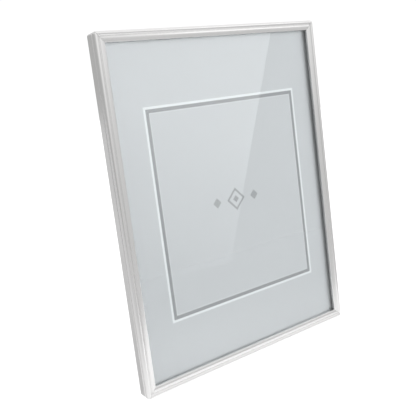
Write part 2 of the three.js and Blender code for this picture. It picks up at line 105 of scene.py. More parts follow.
def runs_through(edge: bmesh.types.BMEdge) -> bool:
    """Say whether an edge at the end of a sheet runs from its front to its back."""
    return abs(edge.verts[0].co.x - edge.verts[1].co.x) < TOUCH


@dataclass(frozen=True)
class Layout:
    """The picture, the layers behind it and how the frame stands."""

    picture_width: float = 200 * MM
    picture_height: float = 250 * MM
    rim: float = 4.5 * MM
    lean: float = math.radians(11.5)
    strut_opening: float = math.radians(16)
    glass_front: float = 3.3 * MM
    glass_thickness: float = 2.0 * MM
    card_thickness: float = 0.35 * MM
    board_thickness: float = 2.4 * MM
    layer_gap: float = 0.1 * MM
    seat_gap: float = 0.05 * MM
    hinge_height: float = 180 * MM
    knuckle_radius: float = 2.0 * MM

    @property
    def width(self) -> float:
        """The frame's outer width."""
        return self.picture_width + 2 * self.rim

    @property
    def height(self) -> float:
        """The frame's outer height, measured up its lean."""
        return self.picture_height + 2 * self.rim

    @property
    def card_front(self) -> float:
        """The depth of the picture card's front."""
        return self.glass_front + self.glass_thickness + self.layer_gap

    @property
    def board_front(self) -> float:
        """The depth of the backing board's front."""
        return self.card_front + self.card_thickness + self.layer_gap

    @property
    def board_back(self) -> float:
        """The depth of the backing board's back."""
        return self.board_front + self.board_thickness

    @property
    def pin_depth(self) -> float:
        """The depth of the hinge pin's centre line."""
        return self.board_back + self.seat_gap + self.knuckle_radius

    def leaned(self) -> Matrix:
        """Give the turn and shift that bring the upright drawing to where the frame stands.

        Returns:
            The turn and shift as one matrix.
        """
        low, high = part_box("picture_card")
        drawn = Vector((0, self.card_front + self.card_thickness / 2, self.height / 2))
        turn = Matrix.Rotation(-self.lean, 4, "X")
        return Matrix.Translation((low + high) / 2 - turn @ drawn) @ turn

    def at_pin(self) -> Matrix:
        """Give the place of what is drawn around the hinge pin and fixed to the board."""
        return self.leaned() @ Matrix.Translation((0, self.pin_depth, self.hinge_height))

    def opened(self) -> Matrix:
        """Give the place of what is drawn around the hinge pin and turns with the strut."""
        return self.at_pin() @ Matrix.Rotation(self.strut_opening, 4, "X")


class Pick(Enum):
    """The parts of a mesh that can be picked in edit mode, with where the mesh keeps them."""

    VERTICES = ("VERT", "verts")
    EDGES = ("EDGE", "edges")
    FACES = ("FACE", "faces")


class Workpiece:
    """A mesh on the bench: a primitive that edit tools shape before it is set in its place."""

    def __init__(self, name: str) -> None:
        """Take over the primitive that was added last, with its size and place in its mesh.

        Args:
            name: The piece's name in the scene.
        """
        bpy.ops.object.transform_apply(location=True, rotation=True, scale=True)
        self.object = bpy.context.object
        self.object.name = name
        self.object.data.name = name

    @staticmethod
    def clear_bench() -> None:
        """Leave edit mode and deselect everything."""
        if bpy.context.object and bpy.context.object.mode != "OBJECT":
            bpy.ops.object.mode_set(mode="OBJECT")
        bpy.ops.object.select_all(action="DESELECT")

    @classmethod
    def block(cls, name: str, low: Sequence[float], high: Sequence[float]) -> "Workpiece":
        """Start a piece from a block.

        Args:
            name: The piece's name.
            low: The block's lowest corner.
            high: The block's highest corner.

        Returns:
            The new piece.
        """
        cls.clear_bench()
        low, high = Vector(low), Vector(high)
        bpy.ops.mesh.primitive_cube_add(size=1, location=(low + high) / 2, scale=high - low)
        return cls(name)

    @classmethod
    def rod(cls, name: str, start: Vector, end: Vector, radius: float, sides: int = 40) -> "Workpiece":
        """Start a piece from a round rod.

        Args:
            name: The piece's name.
            start: The middle of one end.
            end: The middle of the other end.
            radius: The rod's radius.
            sides: How many flats stand for its round.

        Returns:
            The new piece.
        """
        cls.clear_bench()
        along = end - start
        bpy.ops.mesh.primitive_cylinder_add(
            vertices=sides, radius=radius, depth=along.length, location=(start + end) / 2,
            rotation=along.to_track_quat("Z", "Y").to_euler(),
        )
        return cls(name)

    @classmethod
    def point(cls, name: str, place: Sequence[float]) -> "Workpiece":
        """Start a piece from a single vertex that lines can be drawn from.

        Args:
            name: The piece's name.
            place: Where the vertex lies.

        Returns:
            The new piece, in edit mode.
        """
        cls.clear_bench()
        bpy.ops.mesh.primitive_plane_add(size=MM, location=place)
        piece = cls(name)
        bpy.ops.object.mode_set(mode="EDIT")
        bpy.ops.mesh.select_mode(type="VERT")
        bpy.ops.mesh.select_all(action="SELECT")
        bpy.ops.mesh.merge(type="CENTER")
        return piece

    def activate(self) -> None:
        """Make this the only selected object, in object mode."""
        self.clear_bench()
        self.object.select_set(True)
        bpy.context.view_layer.objects.active = self.object

    def pick(self, kind: Pick, test: Callable[[Any], bool]) -> "Workpiece":
        """Select the parts of the mesh that pass a test, in edit mode.

        Args:
            kind: Vertices, edges or faces.
            test: Says whether a part is picked.

        Returns:
            This piece.
        """
        mode, sequence = kind.value
        if bpy.context.object is not self.object or self.object.mode != "EDIT":
            self.activate()
            bpy.ops.object.mode_set(mode="EDIT")
        bpy.ops.mesh.select_mode(type=mode)
        bpy.ops.mesh.select_all(action="DESELECT")
        mesh = bmesh.from_edit_mesh(self.object.data)
        for part in getattr(mesh, sequence):
            part.select_set(test(part))
        mesh.select_flush_mode()
        bmesh.update_edit_mesh(self.object.data)
        return self

    def draw(self, points: Sequence[Sequence[float]]) -> "Workpiece":
        """Draw a line on from the selected vertex by extruding it to each point.

        Args:
            points: The places that the line runs through, the first being where it stands.

        Returns:
            This piece.
        """
        for before, after in zip(points, points[1:]):
            self.extrude(Vector(after) - Vector(before))
        return self

    def extrude(self, way: Vector) -> "Workpiece":
        """Extrude what is selected along a way."""
        bpy.ops.mesh.extrude_region_move(TRANSFORM_OT_translate={"value": way})
        return self

    def resize(self, factors: Sequence[float], centre: Sequence[float]) -> "Workpiece":
        """Scale what is selected along X, Y and Z, from a centre that stays where it is."""
        bpy.ops.transform.resize(value=factors, center_override=centre)
        return self

    def spin(self, angle: float, steps: int, centre: Sequence[float], axis: Vector) -> "Workpiece":
        """Spin what is selected about an axis through a centre, by an angle that the steps share."""
        bpy.ops.mesh.spin(angle=-angle, steps=steps, center=centre, axis=axis)
        return self

    def cut(self, place: Sequence[float], facing: Sequence[float], drop: bool = False,
            close: bool = False) -> "Workpiece":
        """Cut what is selected along a plane, and drop the side it faces or close the cut if asked."""
        bpy.ops.mesh.bisect(plane_co=place, plane_no=facing, clear_outer=drop, use_fill=close,
                            threshold=TOUCH / 10)
        return self

    def soften(self, offset: float, segments: int, affect: str = "EDGES") -> "Workpiece":
        """Bevel the EDGES or VERTICES that are selected, as far as the offset and in some segments."""
        bpy.ops.mesh.bevel(offset=offset, segments=segments, affect=affect, profile=0.5)
        return self

    def weld(self) -> "Workpiece":
        """Merge what lies in one place and turn the faces outwards.

        Returns:
            This piece.
        """
        self.pick(Pick.VERTICES, lambda vertex: True)
        bpy.ops.mesh.remove_doubles(threshold=TOUCH)
        bpy.ops.mesh.normals_make_consistent(inside=False)
        return self

    def modify(self, kind: str, **settings: Any) -> "Workpiece":
        """Add a modifier and apply it.

        Args:
            kind: The modifier's type.
            settings: Its settings.

        Returns:
            This piece.
        """
        self.activate()
        modifier = self.object.modifiers.new(kind.title(), kind)
        for name, value in settings.items():
            setattr(modifier, name, value)
        bpy.ops.object.modifier_apply(modifier=modifier.name)
        return self

    def join(self, other: "Workpiece") -> "Workpiece":
        """Take in the mesh of another piece, which is used up.

        Args:
            other: The other piece.

        Returns:
            This piece.
        """
        self.activate()
        other.object.select_set(True)
        bpy.ops.object.join()
        return self

    def combine(self, other: "Workpiece", operation: str) -> "Workpiece":
        """Join, cut or keep the overlap with another piece, which is used up.

        Args:
            other: The other piece.
            operation: UNION, DIFFERENCE or INTERSECT.

        Returns:
            This piece.
        """
        self.modify("BOOLEAN", object=other.object, operation=operation, solver="EXACT")
        bpy.data.objects.remove(other.object)
        return self

    def drill(self, place: Vector, radius: float, reach: float) -> "Workpiece":
        """Make a round hole from front to back, with the drill's reach to either side of a place."""
        way = BACKWARDS * reach
        return self.combine(Workpiece.rod("drill", place - way, place + way, radius), "DIFFERENCE")

    def round_edges(self, width: float, segments: int = 2) -> "Workpiece":
        """Break the sharp edges to a width, in some segments."""
        return self.modify("BEVEL", width=width, segments=segments, limit_method="ANGLE",
                           angle_limit=SHARP_EDGE, use_clamp_overlap=False)

    def copy(self, name: str) -> "Workpiece":
        """Give a copy with a mesh of its own.

        Args:
            name: The copy's name.

        Returns:
            The copy.
        """
        self.activate()
        bpy.ops.object.duplicate(linked=False)
        return Workpiece(name)

    def paint(self, *materials: bpy.types.Material,
              second: Callable[[bpy.types.MeshPolygon], bool] = lambda face: False) -> "Workpiece":
        """Give the piece its materials.

        Args:
            materials: The main material and, where there is one, a second.
            second: Says whether a face takes the second one.

        Returns:
            This piece.
        """
        self.clear_bench()
        self.object.data.materials.clear()
        for material in materials:
            self.object.data.materials.append(material)
        for face in self.object.data.polygons:
            face.material_index = int(second(face))
        return self

    def settle(self, place: Matrix, body: str, slot: str, *nodes: str, smooth: float = 35) -> "Workpiece":
        """Smooth the piece, set it in its place and hand it to a body.

        Args:
            place: The turn and shift from the drawing to the place.
            body: The body that it moves with.
            slot: The material slot that its finish belongs to; it is not used.
            nodes: The nodes that it stands for.
            smooth: The greatest angle in degrees between two faces that are shaded as one.

        Returns:
            This piece.
        """
        self.activate()
        self.object.matrix_world = place
        bpy.ops.object.transform_apply(location=True, rotation=True, scale=True)
        bpy.ops.object.shade_smooth_by_angle(angle=math.radians(smooth))
        self.modify("WEIGHTED_NORMAL", weight=100, keep_sharp=True)
        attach(self.object, body)
        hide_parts(*nodes)
        LOG.info("%s: %d faces, moves with %s", self.object.name, len(self.object.data.polygons), body)
        return self


class Recipe:
    """The node tree of a material, a sky or a lamp, with short calls for what the finishes share."""

    def __init__(self, name: str, kind: str = "Material", owner: bpy.types.ID | None = None) -> None:
        """Start an empty node tree.

        Args:
            name: The name of a new material or sky.
            kind: Material, World or Light.
            owner: What gets the tree, where it isn't new.
        """
        self.kind = kind
        self.owner = owner or (bpy.data.materials if kind == "Material" else bpy.data.worlds).new(name)
        self.owner.use_nodes = True
        self.tree = self.owner.node_tree
        self.tree.nodes.clear()

    def node(self, kind: str, inputs: dict[str | int, Any] | None = None, **settings: Any) -> bpy.types.Node:
        """Add a node.

        Args:
            kind: The node's type, without its prefix.
            inputs: A value or a socket for each input that is set, by name or number.
            settings: The node's own settings.

        Returns:
            The node.
        """
        node = self.tree.nodes.new("ShaderNode" + kind)
        for name, value in settings.items():
            setattr(node, name, value)
        for name, value in (inputs or {}).items():
            if isinstance(value, bpy.types.NodeSocket):
                self.tree.links.new(value, node.inputs[name])
            else:
                node.inputs[name].default_value = value
        return node

    def place(self, turn: Sequence[float] = (0, 0, 0), scale: Sequence[float] = (1, 1, 1),
              shift: Sequence[float] = (0, 0, 0)) -> bpy.types.NodeSocket:
        """Give coordinates on the object, shifted, turned and then scaled.

        Args:
            turn: The turn about X, Y and Z.
            scale: The scale along X, Y and Z after the turn.
            shift: The shift before the turn.

        Returns:
            The coordinates' socket.
        """
        coordinates = self.node("TexCoord").outputs["Object"]
        moved = self.node("Mapping", {"Vector": coordinates, "Location": shift}).outputs["Vector"]
        turned = self.node("Mapping", {"Vector": moved, "Rotation": turn}).outputs["Vector"]
        return self.node("Mapping", {"Vector": turned, "Scale": scale}).outputs["Vector"]

    def noise(self, place: bpy.types.NodeSocket, scale: float, detail: float) -> bpy.types.NodeSocket:
        """Give a noise's value, its scale in lumps to the metre and its detail in finer layers."""
        inputs = {"Vector": place, "Scale": scale, "Detail": detail}
        return self.node("TexNoise", inputs).outputs["Fac"]

    def between(self, value: bpy.types.NodeSocket, low: float, high: float, start: float = 0.3,
                end: float = 0.7) -> bpy.types.NodeSocket:
        """Stretch a value so that it gives low at the start and high at the end."""
        inputs = {"Value": value, "From Min": start, "From Max": end, "To Min": low, "To Max": high}
        return self.node("MapRange", inputs).outputs["Result"]

    def ramp(self, value: bpy.types.NodeSocket, *stops: tuple[float, Colour],
             steps: bool = False) -> bpy.types.NodeSocket:
        """Give a colour for a value.

        Args:
            value: The value.
            stops: Each value that has a colour of its own, with that colour.
            steps: Whether the colour changes in steps and not smoothly.

        Returns:
            The colour's socket.
        """
        ramp = self.node("ValToRGB", {"Fac": value})
        band = ramp.color_ramp
        band.interpolation = "CONSTANT" if steps else "LINEAR"
        band.elements.remove(band.elements[1])
        band.elements[0].position, band.elements[0].color = stops[0]
        for position, colour in stops[1:]:
            band.elements.new(position).color = colour
        return ramp.outputs["Color"]

    def math(self, operation: str, first: Any, second: Any = 0.0) -> bpy.types.NodeSocket:
        """Work out a number from one or two values or sockets."""
        return self.node("Math", {0: first, 1: second}, operation=operation).outputs["Value"]

    def tinted(self, colour: bpy.types.NodeSocket, tint: bpy.types.NodeSocket) -> bpy.types.NodeSocket:
        """Multiply a colour by another one."""
        return self.node("VectorMath", {0: colour, 1: tint}, operation="MULTIPLY").outputs["Vector"]

    def relief(self, height: bpy.types.NodeSocket, depth: float,
               strength: float = 1.0) -> bpy.types.NodeSocket:
        """Give the normal of a fine relief, whose height from 0 to 1 stands for its depth."""
        inputs = {"Height": height, "Distance": depth, "Strength": strength}
        return self.node("Bump", inputs).outputs["Normal"]

    def surface(self, inputs: dict[str, Any]) -> bpy.types.Node:
        """Add the surface shader, set to these inputs."""
        return self.node("BsdfPrincipled", inputs)

    def blend(self, kind: str, inputs: dict[str | int, Any], first: bpy.types.Node,
              second: bpy.types.Node) -> bpy.types.Node:
        """Mix or add two shaders.

        Args:
            kind: MixShader or AddShader.
            inputs: What the mixing node is set to.
            first: The first shader.
            second: The second shader.

        Returns:
            The mixing node.
        """
        node = self.node(kind, inputs)
        for socket, shader in zip(node.inputs[-2:], (first, second)):
            self.tree.links.new(shader.outputs[0], socket)
        return node

    def close(self, shader: bpy.types.Node) -> Any:
        """End the tree with a shader and give the material, sky or lamp that it belongs to."""
        self.node("Output" + self.kind, {"Surface": shader.outputs[0]})
        return self.owner


@dataclass(frozen=True)
class BrightMetal:
    """A bright plated extrusion, with faint draw lines along it and a lacquer that is not quite even."""

    name: str
    turn: tuple[float, float, float]
    colour: Colour = grey(0.88, 0.01)
    line_spacing: float = 0.25 * MM
    line_length: float = 60 * MM
    line_depth: float = 0.0006 * MM
    smudge: float = 28 * MM
    smudged: Colour = grey(0.86, 0.01)
    roughness: tuple[float, float] = (0.13, 0.19)

    def material(self) -> bpy.types.Material:
        """Make the material, whose lines follow X once its coordinates are turned.

        Returns:
            The material.
        """
        recipe = Recipe(self.name)
        stretched = recipe.place(self.turn, (self.line_spacing / self.line_length, 1, 1))
        lines = recipe.noise(stretched, 1 / self.line_spacing, detail=3.0)
        smudges = recipe.noise(recipe.place(), 1 / self.smudge, detail=4.0)
        return recipe.close(recipe.surface({
            "Base Color": recipe.ramp(smudges, (0.3, self.smudged), (0.7, self.colour)),
            "Metallic": 1.0,
            "Roughness": recipe.between(smudges, *self.roughness),
            "Normal": recipe.relief(lines, self.line_depth),
        }))


@dataclass(frozen=True)
class NickelSteel:
    """Nickel on stamped or turned steel, tumbled dull, with fine scuffs."""

    name: str = "nickel_plated_steel"
    grain: float = 0.35 * MM
    scuff: float = 6 * MM
    grain_depth: float = 0.004 * MM
    colour: Colour = grey(0.64, 0.06)
    scuffed: Colour = grey(0.56, 0.05)
    roughness: tuple[float, float] = (0.24, 0.38)

    def material(self) -> bpy.types.Material:
        """Make the material.

        Returns:
            The material.
        """
        recipe = Recipe(self.name)
        place = recipe.place()
        grain = recipe.noise(place, 1 / self.grain, detail=3.0)
        scuffs = recipe.noise(place, 1 / self.scuff, detail=6.0)
        return recipe.close(recipe.surface({
            "Base Color": recipe.ramp(scuffs, (0.35, self.scuffed), (0.65, self.colour)),
            "Metallic": 1.0,
            "Roughness": recipe.between(scuffs, *self.roughness),
            "Normal": recipe.relief(grain, self.grain_depth),
        }))


@dataclass(frozen=True)
class ZincAlloy:
    """Raw pressed zinc alloy, for the angle pieces inside the corners."""

    name: str = "raw_zinc"
    grain: float = 1.2 * MM
    grain_depth: float = 0.01 * MM
    dark: Colour = grey(0.3, -0.04)
    light: Colour = grey(0.46, -0.03)
    roughness: tuple[float, float] = (0.4, 0.6)

    def material(self) -> bpy.types.Material:
        """Make the material.

        Returns:
            The material.
        """
        recipe = Recipe(self.name)
        spangle = recipe.noise(recipe.place(), 1 / self.grain, detail=5.0)
        return recipe.close(recipe.surface({
            "Base Color": recipe.ramp(spangle, (0.35, self.dark), (0.65, self.light)),
            "Metallic": 1.0,
            "Roughness": recipe.between(spangle, *self.roughness),
            "Normal": recipe.relief(spangle, self.grain_depth),
        }))


@dataclass(frozen=True)
class FloatGlass:
    """Clear float glass, which lets the lamps' light through to the card."""

    name: str = "float_glass"
    tint: Colour = (0.975, 0.992, 0.988, 1.0)

    def material(self) -> bpy.types.Material:
        """Make the material.

        Returns:
            The material.
        """
        recipe = Recipe(self.name)
        glass = recipe.surface({
            "Base Color": self.tint, "Roughness": 0.0, "IOR": 1.5, "Transmission Weight": 1.0,
        })
        clear = recipe.node("BsdfTransparent", {"Color": self.tint})
        shadow = recipe.node("LightPath").outputs["Is Shadow Ray"]
        return recipe.close(recipe.blend("MixShader", {"Fac": shadow}, glass, clear))


@dataclass(frozen=True)
class GroundGlass:
    """The pane's ground edge, greenish and dull."""

    name: str = "ground_glass_edge"
    grit: float = 0.15 * MM
    grit_depth: float = 0.02 * MM
    dark: Colour = (0.25, 0.42, 0.37, 1.0)
    light: Colour = (0.42, 0.6, 0.54, 1.0)
    roughness: tuple[float, float] = (0.4, 0.6)

    def material(self) -> bpy.types.Material:
        """Make the material.

        Returns:
            The material.
        """
        recipe = Recipe(self.name)
        grit = recipe.noise(recipe.place(), 1 / self.grit, detail=3.0)
        return recipe.close(recipe.surface({
            "Base Color": recipe.ramp(grit, (0.3, self.dark), (0.7, self.light)),
            "Roughness": recipe.between(grit, *self.roughness),
            "Normal": recipe.relief(grit, self.grit_depth),
        }))


@dataclass(frozen=True)
class Flock:
    """Black flock: short fibres that stand on a glued sheet."""

    name: str = "black_flock"
    fibre: float = 0.22 * MM
    nap: float = 9 * MM
    pile: float = 0.09 * MM
    dark: Colour = grey(0.008)
    light: Colour = grey(0.032, 0.04)
    worn_tone: float = 0.8

    def material(self) -> bpy.types.Material:
        """Make the material.

        Returns:
            The material.
        """
        recipe = Recipe(self.name)
        place = recipe.place()
        fibres = recipe.noise(place, 1 / self.fibre, detail=4.0)
        nap = recipe.noise(place, 1 / self.nap, detail=3.0)
        colour = recipe.ramp(fibres, (0.3, self.dark), (0.75, self.light))
        worn = recipe.ramp(nap, (0.35, grey(self.worn_tone)), (0.7, grey(1.0)))
        return recipe.close(recipe.surface({
            "Base Color": recipe.tinted(colour, worn),
            "Roughness": 0.95,
            "Sheen Weight": 0.35,
            "Sheen Roughness": 0.5,
            "Sheen Tint": grey(0.5),
            "Normal": recipe.relief(fibres, self.pile, strength=0.8),
        }))


@dataclass(frozen=True)
class Hardboard:
    """The brown cut edge and smooth face of pressed wood fibre."""

    name: str = "brown_hardboard"
    fibre: float = 0.5 * MM
    fibre_flatness: float = 6.0
    fibre_depth: float = 0.05 * MM
    dark: Colour = (0.11, 0.06, 0.032, 1.0)
    light: Colour = (0.24, 0.14, 0.075, 1.0)
    roughness: tuple[float, float] = (0.65, 0.85)

    def material(self) -> bpy.types.Material:
        """Make the material.

        Returns:
            The material.
        """
        recipe = Recipe(self.name)
        place = recipe.place(scale=(1, self.fibre_flatness, 1))
        fibres = recipe.noise(place, 1 / self.fibre, detail=5.0)
        return recipe.close(recipe.surface({
            "Base Color": recipe.ramp(fibres, (0.35, self.dark), (0.65, self.light)),
            "Roughness": recipe.between(fibres, *self.roughness),
            "Normal": recipe.relief(fibres, self.fibre_depth),
        }))


@dataclass(frozen=True)
class PrintedCard:
    """Pale paper with a ruled border and a small ornament of lozenges printed on it."""

    layout: Layout
    name: str = "printed_card"
    paper: Colour = (0.5, 0.505, 0.526, 1.0)
    white: Colour = (0.7, 0.71, 0.73, 1.0)
    ink: Colour = (0.26, 0.263, 0.276, 1.0)
    pale: Colour = (0.57, 0.575, 0.595, 1.0)
    border_width: float = 145 * MM
    border_height: float = 155 * MM
    border_right: float = 2 * MM
    border_up: float = 126.4 * MM
    line: float = 2.7 * MM
    outer_line: float = 1.8 * MM
    inner_line: float = 0.8 * MM
    ornament: float = 9 * MM
    side_ornament: float = 4 * MM
    ornament_spacing: float = 19 * MM
    ornament_tone: float = 0.55
    side_tone: float = 0.6
    middle_share: float = 0.32
    ring_share: float = 0.74
    tooth: float = 0.3 * MM
    tooth_depth: float = 0.004 * MM
    tooth_tone: float = 0.985
    roughness: tuple[float, float] = (0.5, 0.6)
    ruled_reach: float = 5 * MM

    def drawn(self, recipe: Recipe) -> tuple[bpy.types.NodeSocket, bpy.types.NodeSocket]:
        """Give how far a point lies from the border's middle lines.

        Args:
            recipe: The material's node tree.

        Returns:
            The distances to the side and up, both without sign.
        """
        lean = self.layout.leaned()
        middle = lean @ Vector((self.border_right, self.layout.card_front, self.border_up))
        place = recipe.place((self.layout.lean, 0, 0), shift=-middle)
        split = recipe.node("SeparateXYZ", {"Vector": place})
        return recipe.math("ABSOLUTE", split.outputs["X"]), recipe.math("ABSOLUTE", split.outputs["Z"])

    def border(self, recipe: Recipe, side: bpy.types.NodeSocket,
               up: bpy.types.NodeSocket) -> bpy.types.NodeSocket:
        """Give the colour of the paper with its border.

        Args:
            recipe: The material's node tree.
            side: The distance from the middle to the side.
            up: The distance from the middle up or down.

        Returns:
            The colour's socket.
        """
        outside = recipe.math("MAXIMUM", recipe.math("SUBTRACT", side, self.border_width / 2),
                              recipe.math("SUBTRACT", up, self.border_height / 2))
        reach = self.ruled_reach
        value = recipe.between(outside, 0, 1, -reach, reach)
        starts = [-self.line - self.inner_line, -self.line, 0, self.outer_line]
        stops = [0.0, *((reach + start) / (2 * reach) for start in starts)]
        colours = [self.paper, self.pale, self.ink, self.white, self.paper]
        return recipe.ramp(value, *zip(stops, colours), steps=True)

    def lozenges(self, recipe: Recipe, side: bpy.types.NodeSocket,
                 up: bpy.types.NodeSocket) -> bpy.types.NodeSocket:
        """Give the share of paper that shows through the ornament.

        Args:
            recipe: The material's node tree.
            side: The distance from the middle to the side.
            up: The distance from the middle up or down.

        Returns:
            The share's socket, as a grey.
        """
        middle = recipe.math("DIVIDE", recipe.math("ADD", side, up), self.ornament)
        beside = recipe.math("ABSOLUTE", recipe.math("SUBTRACT", side, self.ornament_spacing))
        small = recipe.math("DIVIDE", recipe.math("ADD", beside, up), self.side_ornament)
        tone = grey(self.ornament_tone)
        ring = recipe.ramp(middle, (0.0, tone), (self.middle_share, grey(1)), (self.ring_share, tone),
                           (1.0, grey(1)), steps=True)
        dots = recipe.ramp(small, (0.0, grey(self.side_tone)), (1.0, grey(1)), steps=True)
        return recipe.tinted(ring, dots)

    def material(self) -> bpy.types.Material:
        """Make the material.

        Returns:
            The material.
        """
        recipe = Recipe(self.name)
        side, up = self.drawn(recipe)
        tooth = recipe.noise(recipe.place(), 1 / self.tooth, detail=4.0)
        printed = recipe.tinted(self.border(recipe, side, up), self.lozenges(recipe, side, up))
        paper = recipe.tinted(printed, recipe.ramp(tooth, (0.3, grey(self.tooth_tone)), (0.7, grey(1))))
        return recipe.close(recipe.surface({
            "Base Color": paper,
            "Roughness": recipe.between(tooth, *self.roughness),
            "Normal": recipe.relief(tooth, self.tooth_depth),
        }))


@dataclass(frozen=True)
class Moulding:
    """Four mitred rails of one extruded section.

    In front lie the bead, the valley and the inner crest with its falling lip, and at the side a groove
    parts the bead from the band. Behind them lie the seat for the glass, the slot for the corner keys,
    the groove for the clips, the flange and the back rim.
    """

    layout: Layout
    bead_radius: float = 1.7 * MM
    bead_back: float = 4.0 * MM
    side_groove: float = 1.5 * MM
    band_front: float = 4.9 * MM
    band_inset: float = 0.3 * MM
    band_back_inset: float = 0.9 * MM
    side_round: float = 0.6 * MM
    cove_radius: float = 0.35 * MM
    crest_width: float = 4.3 * MM
    crest_depth: float = 0.5 * MM
    crest_radius: float = 0.6 * MM
    lip_radius: float = 12 * MM
    lip_round: float = 0.2 * MM
    width: float = 7.7 * MM
    seat_depth: float = 3.2 * MM
    pocket_wall: float = 4.0 * MM
    groove_floor: float = 1.9 * MM
    flange_front: float = 9.2 * MM
    flange_edge: float = 3.3 * MM
    flange_back: float = 10.0 * MM
    depth: float = 11.8 * MM
    slot_low: tuple[float, float] = (1.9 * MM, 3.9 * MM)
    slot_high: tuple[float, float] = (3.2 * MM, 7.4 * MM)
    corner_radius: float = 2.2 * MM
    mitre_gap: float = 0.05 * MM
    broken_edge: float = 0.1 * MM
    bead_steps: int = 28
    curve_steps: int = 10
    side_steps: int = 6
    corner_steps: int = 8

    @property
    def bead_split(self) -> float:
        """The angle at which the bead passes the corner's round."""
        return 2 * math.pi - math.acos(self.corner_radius / self.bead_radius - 1)

    @property
    def crest(self) -> Vector:
        """The centre of the crest's round, as width and depth."""
        return Vector((self.crest_width, self.crest_depth + self.crest_radius))

    def outer_line(self) -> list[Vector]:
        """Give the section from the back flange to the bead, as far as the corner's round reaches.

        Returns:
            The points, as width and depth.
        """
        radius, edge = self.bead_radius, self.side_round
        bead = arc((radius, radius), radius, math.pi, self.bead_split, self.bead_steps)
        flank = arc((edge, self.bead_back - edge), edge, math.pi / 2, math.pi, self.side_steps)
        band = arc((self.band_inset + edge, self.band_front + edge), edge,
                   math.pi, 1.5 * math.pi, self.side_steps)
        rim = [(self.corner_radius, self.flange_back), (self.groove_floor, self.flange_back),
               (self.groove_floor, self.depth), (self.band_back_inset, self.depth)]
        groove = [(self.side_groove, self.band_front), (self.side_groove, self.bead_back)]
        return [*map(Vector, rim), *band, *map(Vector, groove), *flank, *bead]

    def cove(self) -> Vector:
        """Give the centre of the valley's round, which touches the bead and the crest.

        Returns:
            The centre, as width and depth.
        """
        bead = Vector((self.bead_radius, self.bead_radius))
        apart = self.crest - bead
        to_bead, to_crest = self.bead_radius + self.cove_radius, self.crest_radius + self.cove_radius
        along = (to_bead ** 2 - to_crest ** 2 + apart.length_squared) / (2 * apart.length)
        forward = math.sqrt(to_bead ** 2 - along ** 2)
        way = apart.normalized()
        return bead + along * way + forward * Vector((way.y, -way.x))

    def inner_line(self) -> list[Vector]:
        """Give the rest of the section, from the bead over the lip and back to the back flange.

        Returns:
            The points, as width and depth.
        """
        radius, cove, crest = self.bead_radius, self.cove(), self.crest
        bead_turn = math.atan2(cove.y - radius, cove.x - radius)
        crest_turn = math.atan2(crest.y - cove.y, crest.x - cove.x)
        valley = arc(cove, self.cove_radius, math.pi + bead_turn, crest_turn, self.curve_steps)
        rise = arc(crest, self.crest_radius, math.pi + crest_turn, 1.5 * math.pi, self.curve_steps)
        lip_turn = math.asin((self.width - self.lip_round - self.crest_width) / self.lip_radius)
        lip_depth = self.crest_depth + self.lip_radius * (1 - math.cos(lip_turn))
        fall = arc((self.crest_width, self.crest_depth + self.lip_radius), self.lip_radius,
                   1.5 * math.pi, 1.5 * math.pi + lip_turn, self.curve_steps)
        back = [
            (self.width, lip_depth + self.lip_round), (self.width, self.seat_depth),
            (self.pocket_wall, self.seat_depth), (self.pocket_wall, self.layout.board_back),
            (self.groove_floor, self.layout.board_back), (self.groove_floor, self.flange_front),
            (self.flange_edge, self.flange_front), (self.flange_edge, self.flange_back),
            (self.corner_radius, self.flange_back),
        ]
        bead = arc((radius, radius), radius, self.bead_split, 2 * math.pi + bead_turn, self.curve_steps)
        return [*bead, *valley[1:], *rise[1:], *fall[1:], *map(Vector, back)]

    def slot_line(self) -> list[Vector]:
        """Give the outline of the slot that the corner keys are pressed into.

        Returns:
            The points, as width and depth.
        """
        (left, front), (right, back) = self.slot_low, self.slot_high
        corners = [(left, front), (left, back), (right, back), (right, front), (left, front)]
        return [Vector(corner) for corner in corners]

    def stroke(self, name: str, line: Sequence[Vector], length: float) -> Workpiece:
        """Draw a line of the section at the middle of a rail and draw it out along the rail.

        Args:
            name: The name of the new piece.
            line: The line, as width and depth.
            length: How far it is drawn out.

        Returns:
            The new piece, with the drawn-out line still selected.
        """
        points = [(0, depth, width) for width, depth in line]
        piece = Workpiece.point(name, points[0]).draw(points)
        piece.pick(Pick.VERTICES, lambda vertex: True)
        return piece.extrude(ACROSS * length)

    def rail(self, name: str, length: float) -> Workpiece:
        """Model a rail along X with its outer edge on Z = 0.

        Half of it is drawn and mirrored. What lies outside the corner's round is spun about the round's
        centre as far as the mitre, and the rest is cut off along the mitre.

        Args:
            name: The rail's name.
            length: The rail's outer length.

        Returns:
            The rail.
        """
        half = length / 2 - self.mitre_gap
        straight = half - self.corner_radius
        rail = self.stroke(name, self.outer_line(), straight)
        rail.spin(-math.pi / 4, self.corner_steps, (straight, 0, self.corner_radius), BACKWARDS)
        for line in (self.inner_line(), self.slot_line()):
            inside = self.stroke("inside", line, half)
            inside.pick(Pick.FACES, lambda face: True).cut((half, 0, 0), (1, 0, 1), drop=True)
            rail.join(inside)
        rail.weld()
        rail.pick(Pick.EDGES, lambda edge: edge.is_boundary and all(
            abs(vertex.co.x + vertex.co.z - half) < TOUCH for vertex in edge.verts))
        bpy.ops.mesh.fill()
        rail.modify("MIRROR", use_mirror_merge=True, merge_threshold=TOUCH)
        return rail.weld().round_edges(self.broken_edge)

